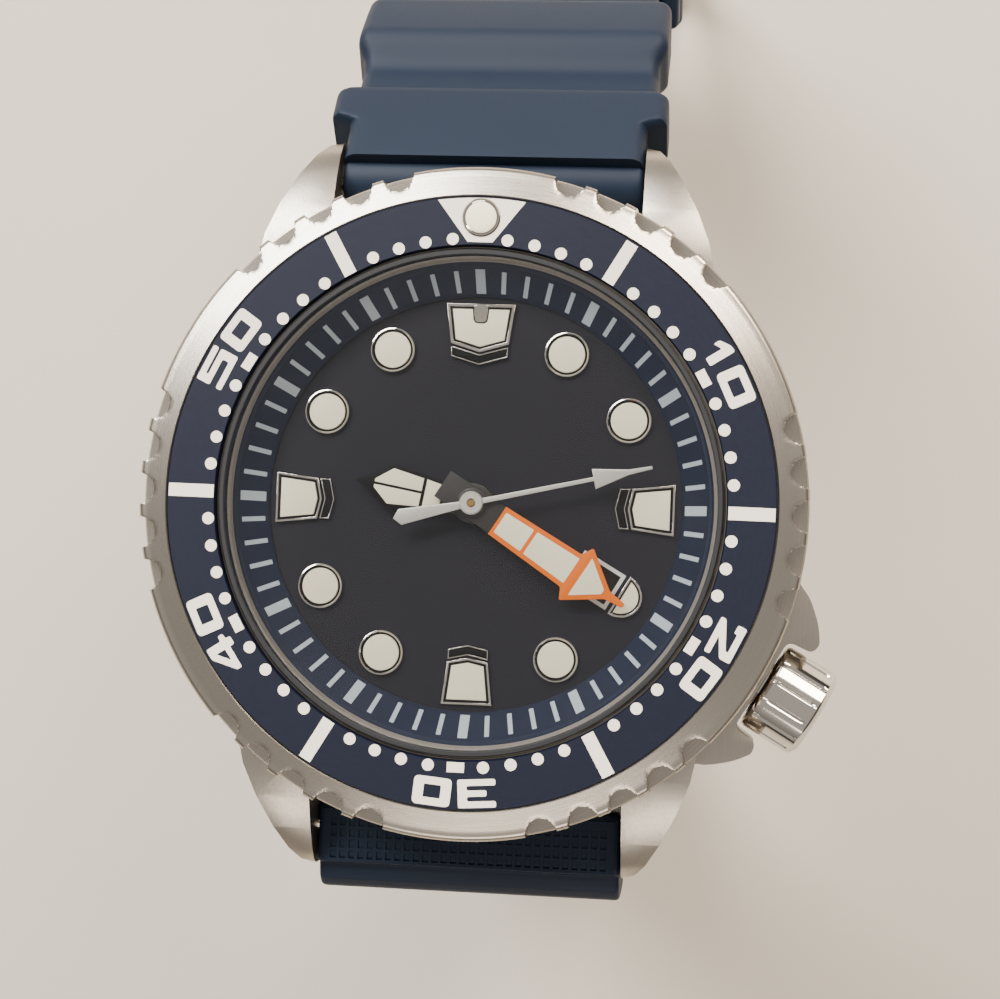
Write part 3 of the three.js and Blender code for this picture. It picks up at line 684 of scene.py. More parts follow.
def set_stage():
    world = bpy.data.worlds.new("studio")
    world.use_nodes = True
    world.node_tree.nodes["Background"].inputs[0].default_value = (1.0, 0.94, 0.87, 1)
    start = Wire(world.node_tree)
    place = start.node("ShaderNodeTexCoord", output="Generated")
    height = start.node("ShaderNodeSeparateXYZ", inputs={0: place}, output=2)
    glow = (height * 1.5).sum("MAXIMUM", 0.0).sum("MINIMUM", 1.0) * 0.46 + 0.07
    # What is seen past the floor stays evenly pale, and only reflections see the darker horizon.
    seen = start.node("ShaderNodeLightPath", output="Is Camera Ray")
    glow = glow + seen * (0.5 - glow)
    world.node_tree.links.new(
        glow.socket, world.node_tree.nodes["Background"].inputs["Strength"]
    )
    bpy.context.scene.world = world
    soft_light("window", (-0.35, 0.45, 0.5), (0, 0, 0), (0.5, 0.35), 13.0, (1.0, 0.98, 0.95))
    soft_light("lamp", (0.28, 0.48, 0.42), (0, 0, 0), (0.3, 0.3), 6.5, (1.0, 0.89, 0.76))
    soft_light("fill", (0.05, -0.5, 0.35), (0, 0, 0), (0.5, 0.2), 1.6, (1.0, 0.9, 0.8))
    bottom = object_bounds()[0][2]
    work = bmesh.new()
    bmesh.ops.create_grid(work, x_segments=8, y_segments=8, size=0.9)
    made = bpy.data.meshes.new("floor")
    work.to_mesh(made)
    work.free()
    made.transform(Matrix.Translation((0, 0, bottom - 0.0002)))
    made.materials.append(
        finish(
            "floor_paper",
            (linear(208, 198, 184), linear(204, 194, 180)),
            (0.75, 0.85),
            0.0,
            lambda w, p: noise(w, p, 60.0),
        )
    )
    floor = bpy.data.objects.new("floor", made)
    bpy.context.scene.collection.objects.link(floor)


set_camera()
set_stage()


# Bezel -------------------------------------------------------------------

NOTCH_R = 0.95
NOTCH_AWAY = BEZEL_R - 0.15


def notch_depth(angle):
    """The bezel's outer radius where a finger notch bites in, or None between notches."""
    clock = (90 - math.degrees(angle) - BEZEL_TURN) % 60  # notch groups repeat each 60 degrees
    near = clock - 30
    slot = round(near / 7.5)
    if abs(slot) > 2:
        return None
    off = math.radians(near - slot * 7.5)
    across = NOTCH_AWAY * math.sin(off)
    if abs(across) >= NOTCH_R:
        return None
    return NOTCH_AWAY * math.cos(off) - math.sqrt(NOTCH_R**2 - across**2)


def bezel_shape():
    top = INSERT_TOP - 0.02
    flange = BEZEL_LOW + 0.8
    crest = INSERT_R + 0.12
    shoulder = BEZEL_R - 0.5

    def slope(r):
        return top - (r - crest) * 0.36

    profile = [
        (INSERT_IN + 1.3, BEZEL_LOW),
        (BEZEL_R - 0.2, BEZEL_LOW),
        (BEZEL_R, BEZEL_LOW + 0.2),
        (BEZEL_R, flange - 0.12),
        (BEZEL_R - 0.1, flange),
        (BEZEL_R - 0.1, flange + 0.02),
        (BEZEL_R, flange + 0.12),
    ]
    profile += [(BEZEL_R, flange + 0.12 + 0.25 * i) for i in range(1, 4)]
    for i in range(1, 7):
        angle = math.radians(90 * i / 7)
        r = shoulder + 0.5 * math.cos(angle)
        profile.append((r, slope(shoulder) - 0.5 + 0.5 * math.sin(angle)))
    profile += [(shoulder - (shoulder - crest) * i / 6, None) for i in range(7)]
    profile += [
        (INSERT_R + 0.04, top - 0.08),
        (INSERT_R + 0.04, INSERT_TOP - 0.7),
        (INSERT_IN - 0.05, INSERT_TOP - 0.7),
        (INSERT_IN - 0.05, INSERT_TOP - 1.1),
        (INSERT_IN + 1.3, INSERT_TOP - 1.1),
    ]
    fixed = [(r, slope(r) if z is None else z) for r, z in profile]

    def bite(r, z, angle):
        depth = notch_depth(angle)
        if depth is None or z < flange + 0.01 or r < depth:
            return r, z
        return depth, min(z, slope(depth) - 0.03)

    return lathe(fixed, 1440, bite)


def glyph(digit, low, high):
    """A numeral cut as one plate, its outer corners eased more than its inner ones."""
    outer, *holes = GLYPHS[digit]
    ease = 0.34 if digit == "0" else 0.14
    shapes = [rounded(outer, ease)] + [rounded(hole, 0.08) for hole in holes]
    return plate([[(x * 1.05, y * 0.9) for x, y in shape] for shape in shapes], low, high)


GLYPHS = {
    "1": [[(-0.05, -1.0), (0.5, -1.0), (0.5, 1.0), (0.12, 1.0), (-0.55, 0.5), (-0.55, 0.0),
           (-0.05, 0.32)]],
    "2": [[(-1.15, -1.0), (1.15, -1.0), (1.15, -0.55), (-0.05, -0.55), (1.15, 0.2), (1.15, 1.0),
           (-1.15, 1.0), (-1.15, 0.3), (-0.6, 0.3), (-0.6, 0.54), (0.58, 0.54), (0.58, 0.36),
           (-1.15, -0.62)]],
    "3": [[(-1.15, -1.0), (1.15, -1.0), (1.15, 1.0), (-1.15, 1.0), (-1.15, 0.54), (0.6, 0.54),
           (0.6, 0.22), (-0.6, 0.22), (-0.6, -0.22), (0.6, -0.22), (0.6, -0.54),
           (-1.15, -0.54)]],
    "4": [[(0.25, -1.0), (0.8, -1.0), (0.8, -0.62), (1.15, -0.62), (1.15, -0.2), (0.8, -0.2),
           (0.8, 1.0), (0.1, 1.0), (-1.2, -0.24), (-1.2, -0.62), (0.25, -0.62)],
          [(0.25, 0.5), (0.25, -0.2), (-0.5, -0.2)]],
    "5": [[(-1.15, -1.0), (1.15, -1.0), (1.15, 0.38), (-0.6, 0.38), (-0.6, 0.56), (1.15, 0.56),
           (1.15, 1.0), (-1.15, 1.0), (-1.15, -0.06), (0.6, -0.06), (0.6, -0.56),
           (-1.15, -0.56)]],
    "0": [[(-1.15, -1.0), (1.15, -1.0), (1.15, 1.0), (-1.15, 1.0)],
          [(-0.52, -0.46), (0.52, -0.46), (0.52, 0.46), (-0.52, 0.46)]],
}
NUMERAL_R = 18.36
DOT_R = INSERT_IN + 0.46
PIP_AWAY = INSERT_R - 1.35


def bezel_marks():
    low, high = INSERT_TOP - 0.05, INSERT_TOP + 0.012
    parts = []
    dot = plate([ring(0.385, 20, 0, DOT_R)], low, high)
    parts.append(turned_copies(dot, 60, pale_paint, 5))
    for tens in range(1, 6):
        for digit, side in ((str(tens), -1), ("0", 1)):
            mesh = glyph(digit, low, high)
            mesh.transform(Matrix.Translation((0, NUMERAL_R * MM, 0)))
            lean = 3.3 if digit == "1" else 4.45
            parts.append(clockwise(mesh, tens * 60 + side * lean))
        small = plate([rectangle(-0.55, 0.55, DOT_R - 0.34, DOT_R + 0.3)], low, high)
        parts.append(clockwise(small, tens * 60))
    for minute in (5, 15, 25, 35, 45, 55):
        bar = plate([rectangle(-0.42, 0.42, INSERT_IN + 0.1, INSERT_R - 0.12)], low, high)
        parts.append(clockwise(bar, minute * 6))
    arc = [
        (INSERT_R - 0.1) * Vector((math.sin(a), math.cos(a)))
        for a in (0.146 * (1 - i / 4) for i in range(9))
    ]
    triangle = [tuple(p) for p in arc] + [(-0.8, INSERT_IN + 0.22), (0.8, INSERT_IN + 0.22)]
    hole = ring(1.24, 40, 0, PIP_AWAY)
    parts.append(plate([triangle, hole], low, high))
    return [(clockwise(mesh, BEZEL_TURN), pale_paint) for mesh in parts]


def make_bezel():
    piece(
        "bezel_body", [(bezel_shape(), steel_turned)], "bezel",
        ["bezel_ring"], 28,
    )
    top = INSERT_TOP
    insert = lathe([
        (INSERT_IN, top - 0.68), (INSERT_IN, top - 0.12), (INSERT_IN + 0.08, top),
        (INSERT_R - 0.08, top), (INSERT_R, top - 0.08), (INSERT_R, top - 0.68),
    ], 256)
    piece(
        "bezel_scale", [(insert, navy_insert)] + bezel_marks(), "bezel",
        ["bezel_insert"],
    )
    rim = lathe([(1.0, top - 0.3), (1.23, top - 0.3), (1.23, top + 0.05), (1.17, top + 0.12),
                 (1.08, top + 0.13), (1.0, top + 0.08)], 64)
    dome = [(0, top - 0.3), (1.01, top - 0.3)]
    dome += [
        (1.01 * math.cos(math.radians(a)), top + 0.02 + 0.17 * math.sin(math.radians(a)))
        for a in range(0, 91, 15)
    ]
    pearl = lathe(dome, 64)
    for mesh in (rim, pearl):
        mesh.transform(Matrix.Translation((0, PIP_AWAY * MM, 0)))
        clockwise(mesh, BEZEL_TURN)
    piece("bezel_pearl", [(rim, steel_polished), (pearl, lume_fill)], "bezel", ["bezel_pip"])


make_bezel()


# Glass, rehaut and dial --------------------------------------------------


def make_glass():
    gasket = lathe([
        (GLASS_R + 0.03, GLASS_LOW), (INSERT_IN - 0.2, GLASS_LOW),
        (INSERT_IN - 0.2, GLASS_TOP - 0.2), (INSERT_IN - 0.28, GLASS_TOP - 0.12),
        (GLASS_R + 0.1, GLASS_TOP - 0.12), (GLASS_R + 0.03, GLASS_TOP - 0.2),
    ])
    piece("glass_seal", [(gasket, seal_black)], "case_body", ["crystal_gasket"])
    pane = lathe([
        (0, GLASS_LOW + 0.02), (GLASS_R - 0.02, GLASS_LOW + 0.02),
        (GLASS_R - 0.02, GLASS_TOP - 0.35), (GLASS_R - 0.35, GLASS_TOP), (0, GLASS_TOP),
    ])
    piece("glass_pane", [(pane, clear_glass)], "case_body", ["crystal"], 20)


def make_rehaut():
    low = DIAL_TOP + 0.05
    slope_out = REHAUT_R - 0.3
    top = REHAUT_TOP
    base = lathe([
        (DIAL_OPEN, low), (REHAUT_R, low), (REHAUT_R, top), (slope_out, top),
        (DIAL_OPEN, low + 0.12),
    ])
    run = Vector((slope_out - DIAL_OPEN, top - low - 0.12))

    def tick(half, start, end):
        near = Vector((DIAL_OPEN, low + 0.12)) + run * start
        far = Vector((DIAL_OPEN, low + 0.12)) + run * end
        verts = []
        for x in (-half, half):
            for r, z in (near, far):
                verts.append((x, r, z + 0.02))
                verts.append((x, r, z - 0.05))
        faces = [(0, 4, 6, 2), (1, 3, 7, 5), (0, 1, 5, 4), (2, 6, 7, 3), (0, 2, 3, 1), (4, 5, 7, 6)]
        return tidy(mesh_of(verts, faces))

    minor = turned_copies(tick(0.15, 0.14, 0.86), 60, tick_paint, 5)
    major = turned_copies(tick(0.31, 0.1, 0.9), 12, tick_paint)
    # turned_copies leaves the first copy out, so the tick at 12 is added on its own.
    twelve = tick(0.31, 0.1, 0.9)
    piece(
        "minute_ring",
        [(base, rehaut_blue), (minor, tick_paint), (major, tick_paint), (twelve, tick_paint)],
        "case_body",
        ["rehaut_ring"],
    )


WINDOW_R = 9.25
WINDOW = (1.04, 1.32)  # half width and half length of the date window


def make_dial():
    w, h = WINDOW
    window = rectangle(-w, w, WINDOW_R - h, WINDOW_R + h)
    face = plate([ring(DIAL_R, 160), window, ring(1.3, 40)], DIAL_LOW, DIAL_TOP)
    border = plate(
        [
            rectangle(-w - 0.25, w + 0.25, WINDOW_R - h - 0.25, WINDOW_R + h + 0.25),
            window,
        ],
        DIAL_TOP - 0.05,
        DIAL_TOP + 0.02,
    )
    piece(
        "dial_face",
        [(clockwise(face, 120), dial_matte), (clockwise(border, 120), window_paint)],
        "case_body",
        ["dial"],
    )


def framed(outline, gap, rim=0.14):
    """An applied marker: a polished frame round a block of lume."""
    low = DIAL_TOP
    inner = inset(outline, gap)
    border = plate([outline, inset(outline, rim)], low, low + 0.3, 0.03)
    trench = plate([inset(outline, rim - 0.01), inner], low, low + 0.24, 0.01)
    fill = plate([inset(outline, gap + 0.05)], low, low + 0.27, 0.03)
    return [(border, steel_polished), (trench, black_trim), (fill, lume_fill)]


def chevron(half, tip, thick, low_y):
    """A V-shaped bar under a marker, pointing towards the dial's centre."""
    outline = [
        (-half, low_y), (0, low_y - tip), (half, low_y),
        (half, low_y - thick), (0, low_y - tip - thick), (-half, low_y - thick),
    ]
    return [
        (plate([outline, inset(outline, 0.07)], DIAL_TOP, DIAL_TOP + 0.3, 0.015), steel_polished),
        (plate([inset(outline, 0.06)], DIAL_TOP, DIAL_TOP + 0.24, 0.01), black_trim),
    ]


def make_markers():
    parts = []
    rim = [(1.32, 0), (1.48, 0), (1.48, 0.22), (1.44, 0.3), (1.37, 0.32), (1.32, 0.27)]
    for hour in (1, 2, 5, 7, 8, 10, 11):
        shapes = [
            (lathe([(r, DIAL_TOP + z) for r, z in rim], 48), steel_polished),
            (plate([ring(1.33, 40), ring(1.19, 40)], DIAL_TOP, DIAL_TOP + 0.22, 0.01), black_trim),
            (plate([ring(1.17, 40)], DIAL_TOP, DIAL_TOP + 0.27, 0.04), lume_fill),
        ]
        for mesh, material in shapes:
            mesh.transform(Matrix.Translation((0, MARKER_R * MM, 0)))
            parts.append((clockwise(mesh, hour * 30), material))
    half_round = [(1.4 * math.cos(a), 1.55 * math.sin(a)) for a in
                  (math.radians(12 * i) for i in range(16))]
    half_round = [(x, y + WINDOW_R + WINDOW[1] + 0.5) for x, y in half_round]
    for mesh, material in framed(half_round, 0.2):
        parts.append((clockwise(mesh, 120), material))
    top = MARKER_R + 1.62
    pentagon = [(-1.65, top), (-1.32, top - 2.75), (0, top - 3.03), (1.32, top - 2.75), (1.65, top)]
    for hour in (3, 6, 9):
        for mesh, material in framed(pentagon[::-1], 0.26) + chevron(1.3, 0.3, 0.64, top - 2.9):
            parts.append((clockwise(mesh, hour * 30), material))
    shield = [(-2.25, top), (-1.9, top - 2.6), (0, top - 3.15), (1.9, top - 2.6), (2.25, top)]
    for mesh, material in framed(shield[::-1], 0.3, rim=0.2) + chevron(1.85, 0.52, 0.66, top - 2.78):
        parts.append((mesh, material))
    tab = rounded([(-0.5, top - 0.05), (0.5, top - 0.05), (0.38, top - 1.2), (-0.38, top - 1.2)],
                  0.22)
    parts.append((plate([inset(tab[::-1], -0.07)], DIAL_TOP, DIAL_TOP + 0.29), black_trim))
    parts.append((plate([tab], DIAL_TOP, DIAL_TOP + 0.34, 0.05), steel_polished))
    names = ["marker_%02d" % hour for hour in range(1, 13)]
    piece("hour_markers", parts, "case_body", names)


make_glass()
make_rehaut()
make_dial()
make_markers()


# Hands -------------------------------------------------------------------


def make_hour_hand():
    z = HOUR_Z
    body = [
        (-0.95, -0.9), (0.95, -0.9), (0.95, 1.9), (1.5, 5.55), (0.36, 7.0),
        (0.09, 7.8), (-0.09, 7.8), (-0.36, 7.0), (-1.5, 5.55), (-0.95, 1.9),
    ]
    parts = [
        (plate([body], z, z + 0.16, 0.03), black_trim),
        (plate([rounded([(-0.95, -0.95), (0.95, -0.95), (0.93, 1.95), (-0.93, 1.95)], 0.1)],
               z + 0.1, z + 0.2, 0.02), hand_grey),
    ]
    root_pane = [(-0.76, 2.1), (0.76, 2.1), (0.92, 3.2), (-0.92, 3.2)]
    front_pane = [(0.08, 3.42), (0.93, 3.42), (1.17, 5.48), (0.28, 6.55), (0.08, 6.55)]
    mirrored = [(-x, y) for x, y in front_pane]
    for outline in (root_pane, front_pane, mirrored):
        parts.append((plate([outline], z + 0.1, z + 0.21, 0.02), lume_fill))
    boss = lathe([(0.96, z), (1.3, z), (1.3, z + 0.26), (1.2, z + 0.3), (0.96, z + 0.3)], 48)
    parts.append((boss, hand_grey))
    for mesh, material in parts:
        clockwise(mesh, HOUR_AT)
    piece("hour_pointer", parts, "hour_set", ["hour_hand"])


def make_minute_hand():
    z = MINUTE_Z
    body = [
        (-1.05, 1.9), (1.05, 1.9), (1.24, 7.7), (2.0, 8.1), (0.3, 10.5),
        (0.15, 11.75), (-0.15, 11.75), (-0.3, 10.5), (-2.0, 8.1), (-1.24, 7.7),
    ]
    root = [(-0.98, -2.3), (0.98, -2.3), (1.0, 2.0), (-1.0, 2.0)]
    parts = [
        (plate([rounded(body, 0.14)], z, z + 0.17, 0.03), hand_orange),
        (plate([root], z, z + 0.17, 0.03), hand_grey),
    ]
    fills = [
        [(-0.75, 2.2), (0.75, 2.2), (0.82, 4.3), (-0.82, 4.3)],
        [(-0.83, 4.55), (0.83, 4.55), (0.94, 7.75), (-0.94, 7.75)],
        [(-1.42, 8.4), (1.42, 8.4), (0.16, 10.15), (-0.16, 10.15)],
    ]
    for outline in fills:
        parts.append((plate([rounded(outline, 0.1)], z + 0.08, z + 0.185, 0.015), lume_fill))
    boss = lathe([(0.54, z), (0.98, z), (0.98, z + 0.24), (0.9, z + 0.28), (0.54, z + 0.28)], 48)
    parts.append((boss, hand_grey))
    for mesh, material in parts:
        clockwise(mesh, MINUTE_AT)
    piece("minute_pointer", parts, "centre_set", ["minute_hand"])


def make_second_hand():
    z = SECOND_Z
    body = [
        (-0.52, -4.7), (0, -5.15), (0.52, -4.7), (0.18, 0), (0.13, 8.0), (0.66, 8.0),
        (0.17, 10.3), (0.1, 11.8), (-0.1, 11.8), (-0.17, 10.3), (-0.66, 8.0), (-0.13, 8.0),
        (-0.18, 0),
    ]
    boss = lathe([(0.24, z), (0.76, z), (0.76, z + 0.2), (0.68, z + 0.28), (0.3, z + 0.28),
                  (0.24, z + 0.2)], 48)
    pin = lathe([(0, z), (0.22, z), (0.22, z + 0.3), (0.16, z + 0.35), (0, z + 0.35)], 24)
    parts = [
        (plate([body], z, z + 0.15, 0.04), hand_silver),
        (boss, hand_silver),
        (pin, brass),
    ]
    for mesh, material in parts:
        clockwise(mesh, SECOND_AT)
    piece("seconds_pointer", parts, "second_set", ["second_hand"])


make_hour_hand()
make_minute_hand()
make_second_hand()


# Case --------------------------------------------------------------------


def solid_object(mesh):
    made = bpy.data.objects.new("solid", mesh)
    bpy.context.scene.collection.objects.link(made)
    return made


def combined(mesh, others):
    """Boolean sums of closed meshes: (mesh, "UNION", "DIFFERENCE" or "INTERSECT") in turn."""
    base = solid_object(mesh)
    tools = []
    for other, operation in others:
        tool = solid_object(other)
        tools.append(tool)
        modifier = base.modifiers.new("sum", "BOOLEAN")
        modifier.operation = operation
        modifier.object = tool
        modifier.solver = "EXACT"
    bpy.context.view_layer.update()
    made = bpy.data.meshes.new_from_object(
        base.evaluated_get(bpy.context.evaluated_depsgraph_get())
    )
    for thing in [base] + tools:
        bpy.data.objects.remove(thing)
    return made


def softened(mesh, width, degrees=32, segments=3):
    """The mesh with its sharp edges rounded."""
    base = solid_object(mesh)
    modifier = base.modifiers.new("edges", "BEVEL")
    modifier.width = width * MM
    modifier.segments = segments
    modifier.limit_method = "ANGLE"
    modifier.angle_limit = math.radians(degrees)
    bpy.context.view_layer.update()
    made = bpy.data.meshes.new_from_object(
        base.evaluated_get(bpy.context.evaluated_depsgraph_get())
    )
    bpy.data.objects.remove(base)
    return made


def eased_copy(node, width, degrees=32):
    """A CAD node's shape with its doubles merged, its flats cleaned and its edges rounded."""
    work = bmesh.new()
    work.from_mesh(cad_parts[node].data)
    bmesh.ops.remove_doubles(work, verts=work.verts, dist=2e-6)
    flat = math.radians(0.5)
    bmesh.ops.dissolve_limit(work, angle_limit=flat, verts=work.verts, edges=work.edges)
    made = bpy.data.meshes.new(node)
    work.to_mesh(made)
    work.free()
    return softened(made, width, degrees)


def sideways(mesh):
    """A plate drawn in (Y, Z) and pushed along X, from one drawn in (X, Y) along Z."""
    mesh.transform(Matrix(((0, 0, 1, 0), (1, 0, 0, 0), (0, 1, 0, 0), (0, 0, 0, 1))))
    return mesh


LUG_GAP = 20.4
CROWN_AT = 30  # degrees clockwise from 3 o'clock
CROWN_Z = 4.3


def lug_meshes(side):
    """The two lugs at one end: a block cut to their plan, with the strap gap cut out."""
    top = CASE_TOP
    profile = [
        (12.5, top), (17.4, top - 0.28), (19.6, top - 0.95), (21.6, top - 1.85),
        (23.1, top - 2.9), (23.9, top - 3.7), (LUG_Y, top - 4.5), (LUG_Y, 2.4),
        (LUG_Y - 0.9, 1.4), (12.5, 1.3),
    ]
    plan = [
        (15.3, 13.4), (14.85, 16.0), (14.55, 17.4), (13.75, 19.5), (12.65, 21.7), (11.8, 23.1),
        (11.1, 23.85), (10.2, LUG_Y),
    ]
    plan += [(-x, y) for x, y in plan[::-1]]
    block = sideways(plate([profile], -16, 16))
    outline = plate([plan], 0, 10)
    gap = plate([rectangle(-LUG_GAP / 2, LUG_GAP / 2, CASE_R - 1.9, LUG_Y + 2)], -2, 12)
    made = combined(block, [(outline, "INTERSECT"), (gap, "DIFFERENCE")])
    if side < 0:
        clockwise(made, 180)
    return made


def on_crown_axis(mesh):
    """A shape turned about Z, laid along the crown's axis."""
    mesh.transform(Matrix.Rotation(math.radians(90), 4, "Y"))
    clockwise(mesh, CROWN_AT)
    mesh.transform(Matrix.Translation((0, 0, CROWN_Z * MM)))
    return mesh


def make_case():
    low = 0.45
    outer = lathe(
        [
            (0, low), (CASE_R - 2.1, low), (CASE_R - 0.3, 2.6), (CASE_R, 3.4),
            (CASE_R, CASE_TOP - 0.3), (CASE_R - 0.3, CASE_TOP), (17.0, CASE_TOP),
            (17.0, CASE_TOP + 1.9), (0, CASE_TOP + 1.9),
        ],
        160,
    )
    hollow = lathe(
        [
            (0, -1), (18.38, -1), (18.38, 1.3), (17.0, 1.3), (17.0, 2.4), (15.5, 2.4),
            (15.5, GLASS_LOW - 0.05), (16.06, GLASS_LOW - 0.05), (16.06, 14), (0, 14),
        ],
        160,
    )
    guard = [
        (CASE_R + 0.9, 3.25), (CASE_R + 2.55, 3.4), (CASE_R + 2.75, 4.1), (CASE_R + 2.0, 5.15),
        (CASE_R + 0.7, 6.3), (19.8, 7.1), (15.5, 7.6),
    ]
    guard = [(x, -y) for x, y in guard[::-1]] + guard
    guards = plate([rounded(guard, 0.5)], 2.1, 7.1)
    clockwise(guards, CROWN_AT)
    seat = lathe(
        [(0, 18.0), (2.85, 18.0), (2.85, CASE_R + 0.7), (2.6, CASE_R + 0.95), (0, CASE_R + 0.95)],
        96,
    )
    on_crown_axis(seat)
    pocket = plate([rectangle(-LUG_GAP / 2, LUG_GAP / 2, CASE_R - 1.9, 30)], -2, CASE_TOP - 1.2)
    under = clockwise(pocket.copy(), 180)
    body = combined(
        outer,
        [
            (lug_meshes(1), "UNION"), (lug_meshes(-1), "UNION"), (guards, "UNION"),
            (seat, "UNION"), (hollow, "DIFFERENCE"), (pocket, "DIFFERENCE"), (under, "DIFFERENCE"),
        ],
    )
    body = softened(body, 0.28)
    piece("case_shell", [(body, steel_brushed)], "case_body", ["case_middle"], 30)


def make_case_back():
    radius = hi("case_back").x
    body = lathe(
        [
            (0, 0), (12.6, 0), (12.75, 0.12), (13.0, 0.12), (13.15, 0), (radius - 0.8, 0),
            (radius - 0.1, 0.5), (radius, 1.0), (16.9, 1.0), (16.9, 2.2), (15.8, 2.2),
            (15.8, 1.4), (0, 1.4),
        ],
        192,
    )
    slot = plate([rounded(rectangle(-1.5, 1.5, 14.3, 16.2), 0.3)], -0.5, 0.45)
    first = slot.copy()
    cuts = turned_copies(slot, 6, steel_plain)
    body = combined(body, [(cuts, "DIFFERENCE"), (first, "DIFFERENCE")])
    piece("back_cover", [(softened(body, 0.06, 40, 2), steel_turned)], "case_body",
          ["case_back"], 30)


make_case()
make_case_back()


# Crown -------------------------------------------------------------------


def make_crown():
    start = CASE_R + 1.1
    end = CASE_R + 5.1
    radius = 3.0
    lands = 14

    def fluted(r, z, angle):
        """Broad lands with a narrow round groove between each two."""
        if r < radius - 0.5 or z < start + 0.3 or z > end - 0.45:
            return r, z
        across = abs((angle * lands / TAU) % 1 - 0.5) * 2
        groove = max(0.0, 1 - across / 0.2)
        ease = min(1.0, (z - start - 0.3) / 0.3, (end - 0.45 - z) / 0.36)
        return r - 0.17 * max(0.0, ease) * math.sin(groove * math.pi / 2), z

    profile = [(0, CASE_R + 3.5), (2.15, CASE_R + 3.5), (2.15, start), (radius - 0.4, start),
               (radius - 0.1, start + 0.1), (radius, start + 0.35), (radius, start + 0.72)]
    profile += [(radius, start + 0.72 + 0.12 * i) for i in range(1, 30)
                if start + 0.72 + 0.12 * i < end - 0.62]
    profile += [(radius, end - 0.58), (radius, end - 0.4), (radius - 0.08, end - 0.28),
                (radius - 0.42, end - 0.04), (radius - 0.6, end), (1.8, end + 0.03), (0, end + 0.04)]
    head = on_crown_axis(lathe(profile, 240, fluted))
    piece("crown_head", [(head, steel_polished)], "crown_set", ["crown"], 30)


make_crown()


# Strap -------------------------------------------------------------------

STRAP_W = 20.1
STRAP_T = 3.6
# Height of the outer face over the plain strap, and side ears, by length along the strap.
RISE = [(0, 0.9), (6.4, 0.9), (8.7, -0.8), (10.9, -0.8), (14.3, 0.95), (18.6, 0.95),
        (21.8, -0.35), (25, 0)]
EARS = [(0, 0), (3.4, 0), (4.1, 1.4), (6.4, 1.4), (7.5, 0.45), (12.2, 0.45), (13.6, 1.0),
        (18.9, 1.0), (20.1, 0)]


def along(stations, s):
    """A value eased between (length, value) stations."""
    for (s0, low), (s1, high) in zip(stations, stations[1:]):
        if s < s1:
            share = (s - s0) / (s1 - s0)
            return low + (high - low) * (0.5 - 0.5 * math.cos(math.pi * share))
    return stations[-1][1]


def strap_path(start_y, length, step, direction):
    y, z = start_y, BAR_Z
    points = []
    count = int(round(length / step))
    for i in range(count + 1):
        s = i * step
        turn = math.radians(direction(s))
        points.append((y, z, turn, s))
        y += step * math.cos(turn)
        z += step * math.sin(turn)
    return points


def section(width, outer, inner, count=10, corner=0.9):
    """A rounded oblong section as (x, offset) points, offsets outwards from the path."""
    points = []
    half = width / 2
    for sx, sy, first in ((1, 1, 0), (-1, 1, 90), (-1, -1, 180), (1, -1, 270)):
        reach = corner if sy > 0 else corner * 0.7
        for i in range(count + 1):
            a = math.radians(first + 90 * i / count)
            x = sx * (half - reach) + reach * math.cos(a)
            y = (outer - reach if sy > 0 else -inner + reach) + reach * math.sin(a)
            points.append((x, y))
    filled = []
    for i, (x, y) in enumerate(points):
        filled.append((x, y))
        if i % (count + 1) == count:
            nx, ny = points[(i + 1) % len(points)]
            parts = (12, 3)[(i // (count + 1)) % 2]  # broad faces, then side walls
            for j in range(1, parts):
                filled.append((x + (nx - x) * j / parts, y + (ny - y) * j / parts))
    return filled


def swept(path, shape):
    """A closed skin through sections along a path in Y and Z."""
    verts, faces = [], []
    count = len(shape(0))
    for y, z, turn, s in path:
        ny, nz = -math.sin(turn), math.cos(turn)
        for x, off in shape(s):
            verts.append((x, y + off * ny, z + off * nz))
    rows = len(path)
    for i in range(rows - 1):
        for a in range(count):
            b = (a + 1) % count
            faces.append((i * count + a, i * count + b, (i + 1) * count + b, (i + 1) * count + a))
    faces.append(tuple(range(count))[::-1])
    faces.append(tuple((rows - 1) * count + a for a in range(count)))
    return tidy(mesh_of(verts, faces))


def strap_width(s):
    taper = min(1.0, max(0.0, (s - 22) / 12)) * 2.4
    return STRAP_W + 2 * along(EARS, s) - taper


def make_short_strap():
    bend, length, first, last = 38.0, 64.0, -35.0, -74.0
    path = strap_path(
        BAR_Y, length, 0.25, lambda s: first + (last - first) * min(s, bend) / bend
    )

    def shape(s):
        half = STRAP_T / 2
        inner = half * min(1.0, 0.7 + s / 60)
        return section(strap_width(s), half + along(RISE, s), inner)

    band = swept(path, shape)
    tip_y, tip_z, turn, _ = path[-1]
    tip_half = strap_width(length) / 2
    eye = sideways(plate([ring(1.9, 48, BAR_Y, BAR_Z)], -STRAP_W / 2, STRAP_W / 2, 0.4, 3))
    end = sideways(plate([ring(1.9, 48, tip_y, tip_z)], -tip_half, tip_half, 0.4, 3))
    slot = plate([rectangle(-1.7, 1.7, -6, 4)], -4, 4)
    slot.transform(
        Matrix.Translation((0, tip_y * MM, tip_z * MM)) @ Matrix.Rotation(turn, 4, "X")
    )
    band = combined(band, [(eye, "UNION"), (end, "UNION"), (slot, "DIFFERENCE")])
    piece("strap_upper_band", [(band, strap_rubber)], "strap_upper",
          ["strap_short"], 40)


